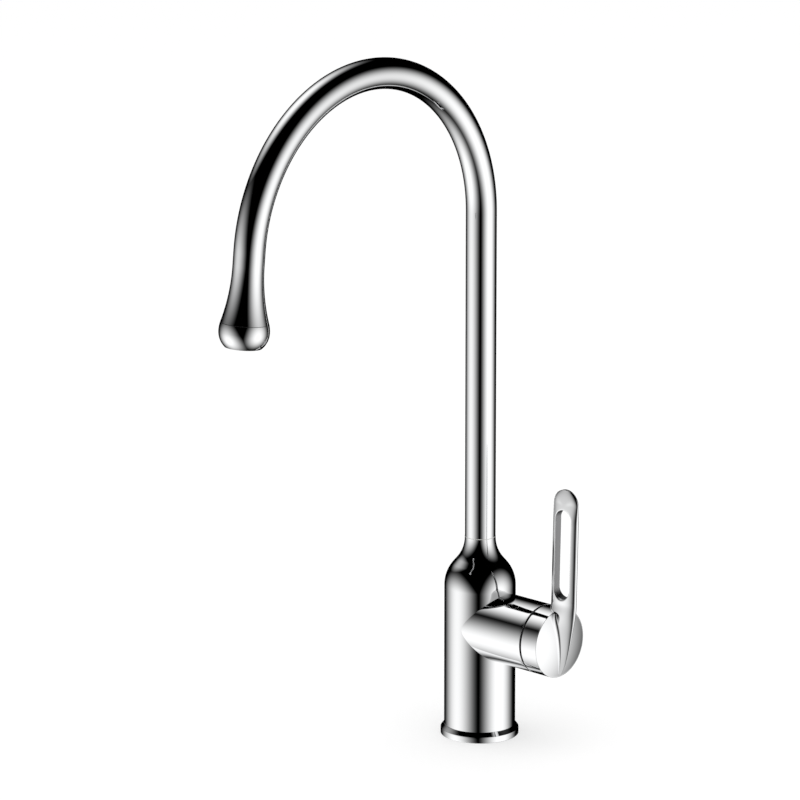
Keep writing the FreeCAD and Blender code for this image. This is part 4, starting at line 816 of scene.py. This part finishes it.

# The polishing wheel doesn't reach into the slot, so its walls stay satin under the plating; they are also
# painted a dark grey tone, which is painted shade inside the slot.
SATIN_SHADE_COLOUR, SATIN_HAZE = (0.41, 0.41, 0.415), 0.42
SATIN_SHADE_REACH, SATIN_SHADE_EDGE = 0.02, 100000.0
slot_chrome, paint = new_material("slotted_chrome")
where = paint.node("ShaderNodeTexCoord", None, None, output=3)
parted = paint.node("ShaderNodeSeparateXYZ", None, [where])
upward = Value(paint, parted.socket.node.outputs["Z"])
level = upward.math("MAXIMUM", (AXIS_HEIGHT + SLOT_LOW) * MM).math("MINIMUM", (AXIS_HEIGHT + SLOT_HIGH) * MM)
beside = parted - (level - (AXIS_HEIGHT + KNEE) * MM) * lean - KNEE_PLACE * MM
off = ((upward - level) ** 2.0 + beside ** 2.0).math("SQRT")
# the mask is 1 on the slot's walls: there the finish turns satin and the colour carries the painted shade
inside = ((SLOT_RADIUS + SATIN_SHADE_REACH) * MM - off) * SATIN_SHADE_EDGE
inside = inside.math("MAXIMUM", 0.0).math("MINIMUM", 1.0)
# inside the slot the chrome colour gives way to dark grey, painted shade on the walls
tone = blend_colours(paint, inside, CHROME_COLOUR + (1.0,), SATIN_SHADE_COLOUR + (1.0,))
haze = noise(paint, where, HAZE_SIZE, 4.0) * HAZE_SPREAD + (CHROME_HAZE - HAZE_SPREAD / 2)
finish_material(paint, {"Base Color": tone, "Metallic": 1.0, "Roughness": haze + inside * SATIN_HAZE})
coat(lever, slot_chrome, "chrome", "lever", "lever_casting")
paint_nodes(steel, "lever_grub_screw")

# ---- Studio
# A pale floor, an even white surround, and around it a dark tent with soft round lamps, which is
# what the polished chrome mirrors. The tent shows in reflections only.
VIEW_AZIMUTH, VIEW_ELEVATION = 43.561, 15.062
VIEW_DISTANCE = 4294.6
VIEW_SCALE = 1.44103
AIM_ACROSS, AIM_HEIGHT = -56.005, 241.693
PHOTO_WIDTH = 800.0
SENSOR = 36.0
TENT_RADIUS = 14.0
# each lamp: azimuth from the photograph's side, height, half angle of its even middle, half angle
# at which it has faded out, and strength
TENT_LAMPS = (
    (-79.8, -33.2, 2.4, 67.4, 1.18),
    (65.6, -17.4, 6.9, 66.4, 1.12),
    (-140.5, 48.5, 5.7, 41.5, 1.07),
    (138.0, -30.0, 5.0, 12.0, 0.3),
)
FLOOR_HALF, FLOOR_TONE, FLOOR_GLOW = 9.0, 0.985, 0.5
SURROUND_GLOW = 0.98
LAMP_PLACE, LAMP_AIM = (0.7, -0.6, 2.6), (0.0, 0.0, 0.2)
LAMP_SIZE, LAMP_POWER = 2.4, 14.0
WHITE = (1.0, 1.0, 1.0, 1.0)


def direction(side, up):
    """A direction from an azimuth, which runs from the tap's front to its right, and an elevation."""
    return math.sin(side) * math.cos(up), -math.cos(side) * math.cos(up), math.sin(up)


azimuth, elevation = math.radians(VIEW_AZIMUTH), math.radians(VIEW_ELEVATION)
away = Vector(direction(azimuth, elevation))
right = Vector((math.cos(azimuth), math.sin(azimuth), 0.0))
aim = (right * AIM_ACROSS + Vector((0, 0, AIM_HEIGHT))) * MM

camera_data = bpy.data.cameras.new("camera")
camera_data.sensor_width = SENSOR
camera_data.lens = VIEW_SCALE * VIEW_DISTANCE / PHOTO_WIDTH * SENSOR
camera_data.clip_start, camera_data.clip_end = 0.1, 100.0
camera = add_object("camera", camera_data)
camera.location = aim + away * VIEW_DISTANCE * MM
camera.rotation_mode = "QUATERNION"
camera.rotation_quaternion = (-away).to_track_quat("-Z", "Y")
bpy.context.scene.camera = camera

tent_material, paint = new_material("tent_with_lamps")
outwards = paint.node("ShaderNodeTexCoord", None, None, output=3)
outwards = paint.node("ShaderNodeVectorMath", {"operation": "NORMALIZE"}, [outwards])
glow = None
for turn_to, height, middle, edge, strength in TENT_LAMPS:
    lamp = direction(azimuth + math.radians(turn_to), math.radians(height))
    beside = paint.node("ShaderNodeVectorMath", {"operation": "DOT_PRODUCT"}, [outwards, lamp], output=1)
    gap = beside.math("ARCCOSINE")
    gone = (math.radians(edge) - gap) / math.radians(edge - middle)
    gone = gone.math("MAXIMUM", 0.0).math("MINIMUM", 1.0)
    light = gone * gone * (3.0 - gone * 2.0) * strength
    glow = light if glow is None else glow.math("MAXIMUM", light)
shine = paint.node("ShaderNodeEmission", None, {"Strength": glow})
paint.node("ShaderNodeOutputMaterial", None, {"Surface": shine})
tent_material.cycles.emission_sampling = "NONE"
shape = bmesh.new()
bmesh.ops.create_icosphere(shape, subdivisions=5, radius=TENT_RADIUS)
tent_mesh = bpy.data.meshes.new("tent")
shape.to_mesh(tent_mesh)
shape.free()
tent_mesh.materials.append(tent_material)
tent = add_object("tent", tent_mesh)
tent.visible_camera = tent.visible_diffuse = tent.visible_shadow = tent.visible_transmission = False

floor_material, paint = new_material("pale_floor")
matt = paint.node("ShaderNodeBsdfDiffuse", None, {"Color": (FLOOR_TONE, FLOOR_TONE, FLOOR_TONE, 1.0)})
pale = paint.node("ShaderNodeEmission", None, {"Color": WHITE, "Strength": 1.0})
seen = paint.node("ShaderNodeLightPath", None, None, output=0)
floor_shader = paint.node("ShaderNodeMixShader", None, [seen * FLOOR_GLOW, matt, pale])
paint.node("ShaderNodeOutputMaterial", None, {"Surface": floor_shader})
floor_corners = [(x * FLOOR_HALF, y * FLOOR_HALF, 0) for x, y in ((-1, -1), (1, -1), (1, 1), (-1, 1))]
floor_mesh = bpy.data.meshes.new("floor")
floor_mesh.from_pydata(floor_corners, [], [(0, 1, 2, 3)])
floor_mesh.materials.append(floor_material)
floor = add_object("floor", floor_mesh)
floor.visible_glossy = False

world = bpy.data.worlds.new("white_surround")
bpy.context.scene.world = world
world.use_nodes = True
world.node_tree.nodes.clear()
paint = Paint(world.node_tree)
white = paint.node("ShaderNodeBackground", None, {"Color": WHITE, "Strength": 1.0})
soft = paint.node("ShaderNodeBackground", None, {"Color": WHITE, "Strength": SURROUND_GLOW})
seen = paint.node("ShaderNodeLightPath", None, None, output=0)
mirrored = paint.node("ShaderNodeLightPath", None, None, output=3)
through = paint.node("ShaderNodeLightPath", None, None, output=6)
plain = seen.math("MAXIMUM", mirrored).math("MAXIMUM", through)
surround = paint.node("ShaderNodeMixShader", None, [plain, soft, white])
paint.node("ShaderNodeOutputWorld", None, {"Surface": surround})

lamp_data = bpy.data.lights.new("overhead_lamp", "AREA")
lamp_data.shape, lamp_data.size, lamp_data.energy = "DISK", LAMP_SIZE, LAMP_POWER
overhead = add_object("overhead_lamp", lamp_data)
overhead.location = LAMP_PLACE
overhead.rotation_mode = "QUATERNION"
overhead.rotation_quaternion = (Vector(LAMP_AIM) - Vector(LAMP_PLACE)).to_track_quat("-Z", "Y")
overhead.visible_glossy = overhead.visible_camera = False

bpy.context.scene.view_settings.view_transform = "Standard"
